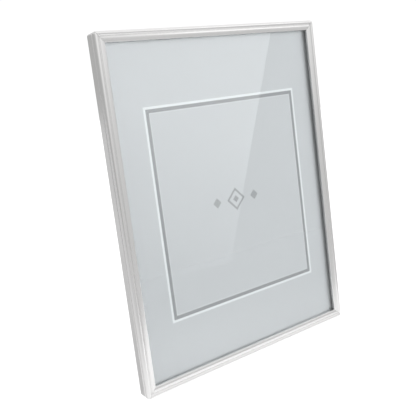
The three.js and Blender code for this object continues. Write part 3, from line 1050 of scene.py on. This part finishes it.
    def build(self) -> bpy.types.Object:
        """Model the rails, finish them and set them round the picture.

        Returns:
            The top rail.
        """
        lying = BrightMetal("bright_metal_lying", (0, 0, 0)).material()
        upright = BrightMetal("bright_metal_upright", (self.layout.lean, math.pi / 2, 0)).material()
        width, height = self.layout.width, self.layout.height
        bottom = self.rail("moulding_bottom", width).paint(lying)
        left = self.rail("moulding_left", height).paint(upright)
        top = bottom.copy("moulding_top")
        right = left.copy("moulding_right")
        places = {
            "bottom": (bottom, Matrix.Identity(4)),
            "top": (top, Matrix.Translation((0, 0, height)) @ Matrix.Rotation(math.pi, 4, "Y")),
            "left": (left, Matrix.Translation((-width / 2, 0, height / 2))
                     @ Matrix.Rotation(math.pi / 2, 4, "Y")),
            "right": (right, Matrix.Translation((width / 2, 0, height / 2))
                      @ Matrix.Rotation(-math.pi / 2, 4, "Y")),
        }
        for side, (rail, place) in places.items():
            rail.settle(self.layout.leaned() @ place, "frame", "moulding", f"rail_{side}", smooth=30)
        return top.object


@dataclass(frozen=True)
class CornerKeys:
    """The angle pieces that are pressed into the rails' slots, kept as they are and given their metal."""

    def build(self) -> None:
        """Give the keys their finish."""
        zinc = ZincAlloy().material()
        for name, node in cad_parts.items():
            if name.startswith("corner_key"):
                for slot in node.material_slots:
                    slot.material = zinc
                LOG.info("%s: keeps its shape", name)


@dataclass(frozen=True)
class Glazing:
    """The glass pane, with the fine arris of a cut and ground edge."""

    layout: Layout
    arris: float = 0.25 * MM

    def build(self) -> bpy.types.Object:
        """Model the pane and set it behind the rails' lips.

        Returns:
            The pane.
        """
        layout = self.layout
        half = layout.picture_width / 2
        low = (-half, layout.glass_front, layout.rim)
        high = (half, layout.glass_front + layout.glass_thickness, layout.rim + layout.picture_height)
        pane = Workpiece.block("glass_sheet", low, high).round_edges(self.arris, 1)
        pane.paint(FloatGlass().material(), GroundGlass().material(),
                   second=lambda face: abs(face.normal.y) < FACES_ALONG)
        return pane.settle(layout.leaned(), "frame", "glass", "glass_pane", smooth=10).object


@dataclass(frozen=True)
class PictureCard:
    """The pale card behind the glass, cut from stiff paper."""

    layout: Layout
    cut_edge: float = 0.05 * MM

    def build(self) -> None:
        """Model the card and set it behind the glass."""
        layout = self.layout
        half = layout.picture_width / 2
        low = (-half, layout.card_front, layout.rim)
        high = (half, layout.card_front + layout.card_thickness, layout.rim + layout.picture_height)
        card = Workpiece.block("insert_card", low, high).round_edges(self.cut_edge)
        card.paint(PrintedCard(layout).material())
        card.settle(layout.leaned(), "frame", "card", "picture_card")


@dataclass(frozen=True)
class Rivet:
    """A rivet with a low domed head, drawn along Y with the underside of its head on Y = 0."""

    radius: float = 1.5 * MM
    head_radius: float = 2.75 * MM
    head_height: float = 0.8 * MM
    rim: float = 0.13 * MM
    play: float = 0.1 * MM
    recess: float = 0.1 * MM
    dome_steps: int = 8
    sides: int = 36

    def model(self, name: str, shank: float) -> Workpiece:
        """Turn the rivet from its outline.

        Args:
            name: The rivet's name.
            shank: The length of its shank.

        Returns:
            The rivet.
        """
        turns = [math.pi / 2 * i / self.dome_steps for i in range(self.dome_steps + 1)]
        rise = self.head_height - self.rim
        dome = [(self.head_radius * math.cos(a), self.rim + rise * math.sin(a), 0) for a in turns]
        outline = [(0, -shank, 0), (self.radius, -shank, 0), (self.radius, 0, 0), (self.head_radius, 0, 0)]
        rivet = Workpiece.point(name, outline[0]).draw([*outline, *dome])
        rivet.pick(Pick.VERTICES, lambda vertex: True)
        rivet.spin(2 * math.pi, self.sides, (0, 0, 0), BACKWARDS)
        return rivet.weld()


@dataclass(frozen=True)
class Strut:
    """The strut that the frame leans on, drawn around the hinge pin while it is folded flat."""

    layout: Layout
    thickness: float = 3.0 * MM
    top_width: float = 42 * MM
    foot_width: float = 66 * MM
    top_gap: float = 3.2 * MM
    top_radius: float = 4 * MM
    foot_radius: float = 3 * MM
    back: float = 1.15 * MM
    soft_edge: float = 0.6 * MM
    soft_steps: int = 3
    corner_steps: int = 8

    def build(self, flock: bpy.types.Material, holes: Sequence[Vector], hole_radius: float) -> None:
        """Model the strut, cut its foot flat for the floor and cover it with flock.

        Args:
            flock: The cover.
            holes: Where the leaf's rivets pass through, around the pin.
            hole_radius: The radius of those holes.
        """
        place = self.layout.opened()
        tilt = self.layout.strut_opening - self.layout.lean
        foot = -(place.translation.z + self.back * math.sin(tilt)) / math.cos(tilt)
        half, top = self.foot_width / 2, -self.top_gap
        strut = Workpiece.block("flocked_strut", (-half, self.back - self.thickness, foot),
                                (half, self.back, top))
        strut.pick(Pick.VERTICES, lambda vertex: vertex.co.z > top - TOUCH)
        strut.resize((self.top_width / self.foot_width, 1, 1), (0, 0, top))
        for level, radius in ((top, self.top_radius), (foot, self.foot_radius)):
            strut.pick(Pick.EDGES, lambda edge: at_level(edge, level) and runs_through(edge))
            strut.soften(radius, self.corner_steps)
        for hole in holes:
            strut.drill(hole, hole_radius, 2 * self.thickness)
        floor = place.inverted()
        strut.pick(Pick.FACES, lambda face: True)
        strut.cut(floor @ Vector(), floor.to_3x3() @ -UP, drop=True, close=True)
        strut.round_edges(self.soft_edge, self.soft_steps).paint(flock)
        strut.settle(place, "strut", "strut", "strut")


@dataclass(frozen=True)
class StrutHinge:
    """The hinge between board and strut: two leaves of bent sheet, a headed pin and four rivets.

    Each leaf's knuckles are bent round the pin from the sheet, and the strut's leaf has a heel that meets
    the board's leaf when the strut is open.
    """

    layout: Layout
    sheet: float = 0.8 * MM
    board_half_width: float = 19 * MM
    board_height: float = 20 * MM
    strut_half_width: float = 16 * MM
    strut_height: float = 22 * MM
    knuckle_end: float = 9 * MM
    heel_half_width: float = 4 * MM
    knuckle_gap: float = 0.4 * MM
    stop_gap: float = 0.05 * MM
    corner: float = 3 * MM
    corner_steps: int = 8
    bend: float = math.radians(300)
    bend_steps: int = 30
    rivet_spacing: float = 22 * MM
    rivet_margin: float = 7 * MM
    pin_radius: float = 1.0 * MM
    pin_head_radius: float = 1.7 * MM
    pin_head: float = 0.5 * MM
    broken_edge: float = 0.12 * MM

    def rivet_places(self, height: float, depth: float = 0.0) -> dict[str, Vector]:
        """Give where a leaf's two rivets lie, by side, at a height above and a depth behind the pin."""
        half = self.rivet_spacing / 2
        return {"left": Vector((-half, depth, height)), "right": Vector((half, depth, height))}

    def leaf(self, name: str, half_width: float, side: float, end: float) -> Workpiece:
        """Cut a leaf's plate, with its outer corners rounded.

        Args:
            name: The leaf's name.
            half_width: Half of the leaf's width.
            side: 1 for a plate behind the pin and -1 for one in front of it.
            end: The height of its outer end, above or below the pin.

        Returns:
            The plate.
        """
        outer, inner = side * self.layout.knuckle_radius, side * (self.layout.knuckle_radius - self.sheet)
        shoulder = math.copysign(self.layout.knuckle_radius + self.knuckle_gap, end)
        low = (-half_width, min(outer, inner), min(shoulder, end))
        high = (half_width, max(outer, inner), max(shoulder, end))
        plate = Workpiece.block(name, low, high)
        plate.pick(Pick.EDGES, lambda edge: at_level(edge, end) and runs_through(edge))
        return plate.soften(self.corner, self.corner_steps)

    def split(self, plate: Workpiece, *places: float) -> None:
        """Cut a plate across at some distances to either side of its middle.

        Args:
            plate: The plate.
            places: The distances.
        """
        for place in places:
            for side in (-place, place):
                plate.pick(Pick.FACES, lambda face: True).cut((side, 0, 0), ACROSS)

    def inner_ends(self, plate: Workpiece, way: float, start: float, end: float) -> Workpiece:
        """Pick the faces at a plate's hinge end that lie in a stretch to either side of the middle.

        Args:
            plate: The plate.
            way: 1 if the hinge end faces up and -1 if it faces down.
            start: Where the stretch starts.
            end: Where it ends.

        Returns:
            The plate.
        """
        return plate.pick(Pick.FACES, lambda face: face.normal.z * way > FACES_ALONG
                          and start <= abs(face.calc_center_median().x) < end)

    def board_leaf(self) -> Workpiece:
        """Model the leaf on the board, with a knuckle at either end of the pin.

        Returns:
            The leaf.
        """
        notch = self.knuckle_end + self.knuckle_gap
        leaf = self.leaf("board_leaf", self.board_half_width, -1, self.board_height)
        self.split(leaf, notch)
        self.inner_ends(leaf, -1, notch, self.board_half_width)
        leaf.extrude(-UP * (self.layout.knuckle_radius + self.knuckle_gap))
        leaf.spin(self.bend, self.bend_steps, (0, 0, 0), ACROSS)
        return leaf

    def strut_leaf(self) -> Workpiece:
        """Model the leaf on the strut, with two inner knuckles and the heel between them.

        Returns:
            The leaf.
        """
        shoulder = self.layout.knuckle_radius + self.knuckle_gap
        inside = self.layout.knuckle_radius - self.sheet
        opening = self.layout.strut_opening
        heel = (inside * math.cos(opening) + inside - self.stop_gap) / math.sin(opening)
        leaf = self.leaf("strut_leaf", self.strut_half_width, 1, -self.strut_height)
        knuckle_start = self.heel_half_width + self.knuckle_gap
        self.split(leaf, self.knuckle_end, knuckle_start, self.heel_half_width)
        self.inner_ends(leaf, 1, 0, self.heel_half_width).extrude(UP * (shoulder + heel))
        self.inner_ends(leaf, 1, knuckle_start, self.knuckle_end).extrude(UP * shoulder)
        leaf.spin(self.bend, self.bend_steps, (0, 0, 0), ACROSS)
        return leaf

    def pin(self) -> Workpiece:
        """Model the pin, headed at both ends.

        Returns:
            The pin.
        """
        end = self.board_half_width + self.layout.seat_gap
        pin = Workpiece.rod("knuckle_pin", -ACROSS * end, ACROSS * end, self.pin_radius)
        grow = self.pin_head_radius / self.pin_radius
        for side in (-1, 1):
            pin.pick(Pick.FACES, lambda face: face.calc_center_median().x * side > end - TOUCH)
            pin.extrude(Vector()).resize((1, grow, grow), (0, 0, 0)).extrude(ACROSS * side * self.pin_head)
        return pin.weld()

    def build(self, steel: bpy.types.Material, rivet: Rivet, strut_thickness: float) -> None:
        """Model the hinge and set it on the board and the strut.

        Args:
            steel: The finish of all its pieces.
            rivet: The rivet that holds its leaves.
            strut_thickness: How thick the strut is.
        """
        layout = self.layout
        shut, opened = layout.at_pin(), layout.opened()
        plate_back = self.sheet - layout.knuckle_radius + layout.seat_gap
        on_board = self.rivet_places(self.board_height - self.rivet_margin, plate_back)
        on_strut = self.rivet_places(self.rivet_margin - self.strut_height,
                                     layout.knuckle_radius + layout.seat_gap)
        reach = layout.board_thickness + self.sheet + 2 * layout.seat_gap - rivet.recess
        leaves = [
            (self.board_leaf(), shut, "frame", "hinge_board_leaf", on_board),
            (self.strut_leaf(), opened, "strut", "hinge_strut_leaf", on_strut),
        ]
        for leaf, place, body, node, places in leaves:
            for hole in places.values():
                leaf.drill(hole, rivet.radius + rivet.play, 2 * self.sheet)
            leaf.round_edges(self.broken_edge).paint(steel).settle(place, body, "fitting", node)
        pin = self.pin().round_edges(self.broken_edge).paint(steel)
        pin.settle(shut, "frame", "fitting", "hinge_pin")
        kinds = [("board", "frame", shut, on_board, reach),
                 ("strut", "strut", opened, on_strut, reach + strut_thickness - layout.board_thickness)]
        for kind, body, place, places, shank in kinds:
            first = rivet.model(f"{kind}_leaf_head_left", shank).paint(steel)
            heads = {"left": first, "right": first.copy(f"{kind}_leaf_head_right")}
            for side, head in heads.items():
                head.settle(place @ Matrix.Translation(places[side]), body, "fitting",
                            f"{kind}_leaf_rivet_{side}")


@dataclass(frozen=True)
class SwivelClips:
    """Six clips that lock the board behind the rails' back flange, each on its rivet.

    A clip is drawn around its rivet with its tongue pointing up and its front face on Y = 0.
    """

    layout: Layout
    thickness: float = 0.7 * MM
    half_width: float = 4 * MM
    reach: float = 12.3 * MM
    pivot_inset: float = 10 * MM
    tail_length: float = 7 * MM
    tail_half_width: float = 3 * MM
    lip_height: float = 1.5 * MM
    hole_play: float = 0.15 * MM
    top_spacing: float = 110 * MM
    bottom_spacing: float = 124 * MM
    broken_edge: float = 0.1 * MM
    bend_steps: int = 8
    tip_sides: int = 180

    def places(self) -> dict[str, tuple[float, float, float]]:
        """Give where each clip's rivet stands on the board, and how far its tongue is turned from up.

        Returns:
            The place across, the place up and the turn, by clip.
        """
        layout = self.layout
        inset = layout.rim + self.pivot_inset
        top, middle, side = layout.height - inset, layout.height / 2, layout.width / 2 - inset
        return {
            "top_left": (-self.top_spacing / 2, top, 0),
            "top_right": (self.top_spacing / 2, top, 0),
            "right": (side, middle, math.pi / 2),
            "bottom_right": (self.bottom_spacing / 2, inset, math.pi),
            "bottom_left": (-self.bottom_spacing / 2, inset, math.pi),
            "left": (-side, middle, -math.pi / 2),
        }

    def clip(self, name: str, hole_radius: float) -> Workpiece:
        """Model a clip: a strip whose tongue ends in an arc and whose tapered tail is bent up.

        Args:
            name: The clip's name.
            hole_radius: The radius of the hole for its rivet.

        Returns:
            The clip.
        """
        bend_start = self.thickness - self.tail_length
        clip = Workpiece.block(name, (-self.half_width, 0, bend_start),
                               (self.half_width, self.thickness, self.reach))
        clip.pick(Pick.FACES, lambda face: face.normal.z < -FACES_ALONG)
        clip.spin(math.pi / 2, self.bend_steps, (0, self.thickness, bend_start), ACROSS)
        clip.extrude(BACKWARDS * (self.lip_height - self.thickness))
        clip.pick(Pick.FACES, lambda face: True).cut((0, 0, -self.half_width), UP)
        clip.pick(Pick.VERTICES, lambda vertex: vertex.co.z < bend_start + TOUCH)
        clip.resize((self.tail_half_width / self.half_width, 1, 1), (0, 0, 0))
        way = BACKWARDS * 3 * self.lip_height
        clip.combine(Workpiece.rod("tip", -way, way, self.reach, self.tip_sides), "INTERSECT")
        clip.drill(Vector(), hole_radius, self.lip_height)
        return clip.round_edges(self.broken_edge)

    def build(self, steel: bpy.types.Material, rivet: Rivet) -> None:
        """Model the clips with their rivets and set them on the board.

        Args:
            steel: The finish of clips and rivets.
            rivet: The rivet that a clip turns on.
        """
        layout = self.layout
        front = layout.board_back + layout.layer_gap
        back = front + self.thickness + layout.seat_gap
        first_clip = self.clip("turn_clip", rivet.radius + self.hole_play).paint(steel)
        first_rivet = rivet.model("turn_rivet", back - layout.board_front - rivet.recess).paint(steel)
        for name, (across, up, turn) in self.places().items():
            clip_place = Matrix.Translation((across, front, up)) @ Matrix.Rotation(turn, 4, "Y")
            first_clip.copy(f"turn_clip_{name}").settle(
                layout.leaned() @ clip_place, f"clip_{name}", "fitting", f"swivel_clip_{name}")
            first_rivet.copy(f"turn_rivet_{name}").settle(
                layout.leaned() @ Matrix.Translation((across, back, up)), "frame", "fitting",
                f"clip_rivet_{name}")
        for used in (first_clip, first_rivet):
            bpy.data.objects.remove(used.object)


@dataclass(frozen=True)
class Hangers:
    """Two hangers, each a strap bent round a triangular wire ring and riveted to the board.

    A hanger is drawn around the ring's turning line, with the strap below it and the ring above.
    """

    layout: Layout
    wire: float = 0.8 * MM
    play: float = 0.2 * MM
    strap: float = 0.6 * MM
    strap_half_width: float = 4 * MM
    strap_length: float = 9.6 * MM
    rivet_distance: float = 5 * MM
    end_steps: int = 12
    bend: float = math.radians(300)
    bend_steps: int = 30
    ring_half_width: float = 7 * MM
    ring_length: float = 14 * MM
    ring_bend: float = 2 * MM
    ring_steps: int = 8
    wire_steps: int = 5
    upright_up: float = 220.5 * MM
    sideways_inset: float = 42 * MM
    broken_edge: float = 0.1 * MM

    @property
    def eye(self) -> float:
        """The outer radius of the strap's eye."""
        return self.wire + self.play + self.strap

    def places(self) -> dict[str, tuple[float, float, float, float]]:
        """Give each hanger's place on the board, its turn from up, and its ring's turn from there.

        Returns:
            The place across, the place up and the two turns, by hanger.
        """
        side = -self.layout.width / 2 + self.layout.rim + self.sideways_inset
        return {
            "upright": (0, self.upright_up, 0, math.pi + self.layout.lean),
            "sideways": (side, self.layout.height / 2, -math.pi / 2, 0),
        }

    def strap_piece(self, name: str, hole_radius: float) -> Workpiece:
        """Model a strap, with its round end and its eye.

        Args:
            name: The strap's name.
            hole_radius: The radius of the hole for its rivet.

        Returns:
            The strap.
        """
        strap = Workpiece.block(name, (-self.strap_half_width, -self.eye, -self.strap_length),
                                (self.strap_half_width, self.strap - self.eye, 0))
        strap.pick(Pick.EDGES, lambda edge: at_level(edge, -self.strap_length) and runs_through(edge))
        strap.soften(self.strap_half_width - TOUCH, self.end_steps)
        strap.pick(Pick.FACES, lambda face: face.normal.z > FACES_ALONG)
        strap.spin(-self.bend, self.bend_steps, (0, 0, 0), ACROSS)
        strap.drill(Vector((0, -self.eye, -self.rivet_distance)), hole_radius, 2 * self.strap)
        return strap.round_edges(self.broken_edge)

    def ring(self, name: str) -> Workpiece:
        """Bend a ring from wire.

        Args:
            name: The ring's name.

        Returns:
            The ring.
        """
        right, left, tip = ((self.ring_half_width, 0, 0), (-self.ring_half_width, 0, 0),
                            (0, 0, self.ring_length))
        ring = Workpiece.point(name, right).draw([right, tip, left, right]).weld()
        ring.pick(Pick.VERTICES, lambda vertex: True).soften(self.ring_bend, self.ring_steps, "VERTICES")
        ring.activate()
        bpy.ops.object.convert(target="CURVE")
        ring.object.data.bevel_depth = self.wire
        ring.object.data.bevel_resolution = self.wire_steps
        bpy.ops.object.convert(target="MESH")
        return Workpiece(name).weld()

    def build(self, steel: bpy.types.Material, rivet: Rivet) -> None:
        """Model the hangers and set them on the board.

        Args:
            steel: The finish of their pieces.
            rivet: The rivet that holds a strap.
        """
        layout = self.layout
        depth = layout.board_back + layout.seat_gap + self.eye
        shank = layout.board_thickness + self.strap + 2 * layout.seat_gap - rivet.recess
        rivet_place = (0, self.strap - self.eye + layout.seat_gap, -self.rivet_distance)
        for name, (across, up, turn, ring_turn) in self.places().items():
            place = layout.leaned() @ Matrix.Translation((across, depth, up)) @ Matrix.Rotation(turn, 4, "Y")
            strap = self.strap_piece(f"strap_{name}", rivet.radius + rivet.play).paint(steel)
            strap.settle(place, "frame", "fitting", f"hanger_strap_{name}")
            head = rivet.model(f"strap_head_{name}", shank).paint(steel)
            head.settle(place @ Matrix.Translation(rivet_place), "frame", "fitting", f"hanger_rivet_{name}")
            ring = self.ring(f"wire_ring_{name}").paint(steel)
            ring.settle(place @ Matrix.Rotation(ring_turn, 4, "X"), f"ring_{name}", "fitting",
                        f"hanger_ring_{name}")


@dataclass(frozen=True)
class BackBoard:
    """The hardboard back, covered with flock on the side that shows."""

    layout: Layout
    corner: float = 2 * MM
    corner_steps: int = 6
    soft_edge: float = 0.25 * MM
    flock_wrap: float = 0.5

    def build(self, flock: bpy.types.Material, holes: Sequence[Vector], hole_radius: float) -> None:
        """Model the board and set it behind the card.

        Args:
            flock: The cover.
            holes: Where rivets pass through, as drawn.
            hole_radius: The radius of those holes.
        """
        layout = self.layout
        half = layout.picture_width / 2
        board = Workpiece.block("flocked_board", (-half, layout.board_front, layout.rim),
                                (half, layout.board_back, layout.rim + layout.picture_height))
        board.pick(Pick.EDGES, lambda edge: abs(edge.verts[0].co.y - edge.verts[1].co.y) > TOUCH)
        board.soften(self.corner, self.corner_steps)
        for hole in holes:
            board.drill(hole, hole_radius, 2 * layout.board_thickness)
        board.round_edges(self.soft_edge)
        board.paint(Hardboard().material(), flock, second=lambda face: face.normal.y > self.flock_wrap)
        board.settle(layout.leaned(), "frame", "board", "backing_board")


class Flag(Enum):
    """What a lamp is flagged off."""

    THE_ONE = "EXCLUDE"
    ALL_OTHERS = "INCLUDE"


@dataclass(frozen=True)
class SoftBox:
    """A soft box, with its width and height in metres and its power in watts."""

    name: str
    place: tuple[float, float, float]
    target: tuple[float, float, float]
    size: tuple[float, float]
    power: float
    beam: float = math.radians(60)
    mirrored: bool = False


@dataclass(frozen=True)
class Studio:
    """The white studio: a pale floor with a pool of light, a graded sky, soft boxes and the camera."""

    focal_length: float = 59.26
    nearest: float = 10 * MM
    camera_place: tuple[float, float, float] = (-337.65 * MM, -384.45 * MM, 285.94 * MM)
    camera_turn: float = math.radians(39.152)
    camera_pitch: float = math.radians(18.315)
    floor_size: float = 1.8
    floor_paint: float = 0.93
    floor_lift: float = 0.9
    ambient: float = 0.44
    backdrop: float = 1.05
    haze: float = 0.22
    dim_side: float = 0.76
    dim_start: float = 0.2
    dim_end: float = 0.55
    dim_way: tuple[float, float, float] = (-0.955, 0.286, 0.085)
    wall: tuple[tuple[float, float], ...] = ((0.0, 0.6), (0.5, 0.62), (0.56, 0.66), (0.64, 0.9), (0.8, 0.96))
    key_box: SoftBox = SoftBox("key_box", (1.13, -1.13, 0.52), (0.2, 0, 0.26), (1.3, 1.3), 8.5)
    pool_box: SoftBox = SoftBox("pool_box", (0.3, -0.55, 0.8), (-0.01, -0.06, 0), (0.3, 0.3), 0.25,
                                beam=math.radians(30))
    back_box: SoftBox = SoftBox("back_box", (-0.8, 1.3, 0.9), (0, 0.05, 0.12), (0.9, 0.9), 0.9)
    sheen_card: SoftBox = SoftBox("sheen_card", (0.471, -0.752, 0.2645), (-0.082, -0.045, 0.202),
                                  (0.34, 0.62), 0.6, beam=math.pi, mirrored=True)
    sheen_roll: float = math.radians(-23.9)
    sheen_foot: float = 0.6
    glint_box: SoftBox = SoftBox("glint_box", (1.08, -1.08, 0.75), (0, 0, 0.25), (0.5, 0.5), 0.35,
                                 beam=math.pi, mirrored=True)

    def camera(self) -> None:
        """Set the camera where the photograph was taken from."""
        lens = bpy.data.cameras.new("studio_camera")
        lens.lens = self.focal_length
        lens.clip_start = self.nearest
        camera = bpy.data.objects.new("studio_camera", lens)
        camera.location = self.camera_place
        camera.rotation_euler = (math.pi / 2 - self.camera_pitch, 0, -self.camera_turn)
        bpy.context.scene.collection.objects.link(camera)
        bpy.context.scene.camera = camera

    def floor(self) -> bpy.types.Object:
        """Lay the floor, which the camera sees overexposed.

        Returns:
            The floor.
        """
        Workpiece.clear_bench()
        bpy.ops.mesh.primitive_plane_add(size=self.floor_size)
        floor = bpy.context.object
        floor.name = "studio_floor"
        recipe = Recipe("white_sweep")
        matt = recipe.node("BsdfDiffuse", {"Color": grey(self.floor_paint)})
        path = recipe.node("LightPath")
        bright = recipe.math("MULTIPLY", path.outputs["Is Camera Ray"], self.floor_lift)
        lift = recipe.node("Emission", {"Strength": recipe.math("MAXIMUM", bright, self.haze)})
        floor.data.materials.append(recipe.close(recipe.blend("AddShader", {}, matt, lift)))
        return floor

    def sky(self) -> None:
        """Hang soft white all round: white to the camera, graded to mirrors and dimmer as a lamp."""
        recipe = Recipe("studio_sky", "World")
        direction = recipe.node("TexCoord").outputs["Generated"]
        height = recipe.node("SeparateXYZ", {"Vector": direction}).outputs["Z"]
        left = recipe.node("VectorMath", {0: direction, 1: self.dim_way}, operation="DOT_PRODUCT")
        dimmed = recipe.between(left.outputs["Value"], 1.0, self.dim_side, self.dim_start, self.dim_end)
        wall = recipe.ramp(recipe.between(height, 0, 1, -1, 1),
                           *((level, grey(tone)) for level, tone in self.wall))
        path = recipe.node("LightPath")
        ambient = recipe.node("Background", {"Color": grey(1.0), "Strength": self.ambient})
        graded = recipe.node("Background", {"Color": wall, "Strength": dimmed})
        white = recipe.node("Background", {"Color": grey(1.0), "Strength": self.backdrop})
        mirrored = recipe.blend("MixShader", {"Fac": path.outputs["Is Glossy Ray"]}, ambient, graded)
        seen = recipe.blend("MixShader", {"Fac": path.outputs["Is Camera Ray"]}, mirrored, white)
        bpy.context.scene.world = recipe.close(seen)

    def lamp(self, box: SoftBox, flag: Flag, flagged: bpy.types.Object) -> bpy.types.Object:
        """Hang a soft box that the camera doesn't see.

        Args:
            box: The soft box.
            flag: Whether it is flagged off one object, or off all the others.
            flagged: That object.

        Returns:
            The lamp.
        """
        light = bpy.data.lights.new(box.name, "AREA")
        light.shape = "RECTANGLE"
        light.size, light.size_y = box.size
        light.spread = box.beam
        light.energy = box.power
        lamp = bpy.data.objects.new(box.name, light)
        lamp.location = box.place
        lamp.rotation_euler = (Vector(box.target) - Vector(box.place)).to_track_quat("-Z", "Y").to_euler()
        lamp.visible_camera = False
        lamp.visible_glossy = box.mirrored
        lamp.visible_transmission = False
        lit = bpy.data.collections.new(box.name + "_flag")
        lit.objects.link(flagged)
        lit.collection_objects[0].light_linking.link_state = flag.value
        lamp.light_linking.receiver_collection = lit
        bpy.context.scene.collection.objects.link(lamp)
        return lamp

    def sheen(self, pane: bpy.types.Object) -> None:
        """Hang the tilted white card whose edge the pane mirrors, and which fades out at its foot.

        Args:
            pane: The glass pane.
        """
        card = self.lamp(self.sheen_card, Flag.ALL_OTHERS, pane)
        card.rotation_euler.rotate_axis("Z", self.sheen_roll)
        card.visible_transmission = True
        recipe = Recipe("sheen_fade", "Light", card.data)
        place = recipe.node("SeparateXYZ", {"Vector": recipe.node("NewGeometry").outputs["Parametric"]})
        fade = recipe.between(place.outputs["Y"], 0, 1, 0.0, self.sheen_foot)
        recipe.close(recipe.node("Emission", {"Strength": fade}))

    def build(self, pane: bpy.types.Object, rail: bpy.types.Object) -> None:
        """Set up the studio.

        Args:
            pane: The glass pane, which mirrors a card of its own.
            rail: The top rail, which mirrors a soft box of its own.
        """
        bpy.context.scene.view_settings.view_transform = "Standard"
        self.camera()
        floor = self.floor()
        self.sky()
        self.lamp(self.key_box, Flag.THE_ONE, floor)
        self.lamp(self.pool_box, Flag.ALL_OTHERS, floor)
        self.lamp(self.back_box, Flag.THE_ONE, floor)
        self.sheen(pane)
        self.lamp(self.glint_box, Flag.ALL_OTHERS, rail)
        LOG.info("studio: floor, sky, soft boxes and camera")


def main() -> None:
    """Build the frame piece by piece and set it in the studio."""
    logging.basicConfig(level=logging.INFO, format="%(message)s")
    layout = Layout()
    steel = NickelSteel().material()
    flock = Flock().material()
    rivet = Rivet()
    hinge = StrutHinge(layout)
    clips = SwivelClips(layout)
    hangers = Hangers(layout)
    top_rail = Moulding(layout).build()
    CornerKeys().build()
    pane = Glazing(layout).build()
    Studio().build(pane, top_rail)
    PictureCard(layout).build()
    middle = (layout.board_front + layout.board_back) / 2
    holes = [Vector((across, middle, up)) for across, up, _ in clips.places().values()]
    leaf_holes = hinge.rivet_places(hinge.board_height - hinge.rivet_margin + layout.hinge_height, middle)
    holes.extend(leaf_holes.values())
    holes.extend(Vector((across - hangers.rivet_distance * math.sin(turn), middle,
                         up - hangers.rivet_distance * math.cos(turn)))
                 for across, up, turn, _ in hangers.places().values())
    BackBoard(layout).build(flock, holes, rivet.radius + rivet.play)
    strut_holes = hinge.rivet_places(hinge.rivet_margin - hinge.strut_height).values()
    strut = Strut(layout)
    strut.build(flock, list(strut_holes), rivet.radius + rivet.play)
    hinge.build(steel, rivet, strut.thickness)
    clips.build(steel, rivet)
    hangers.build(steel, rivet)


if __name__ == "__main__":
    main()
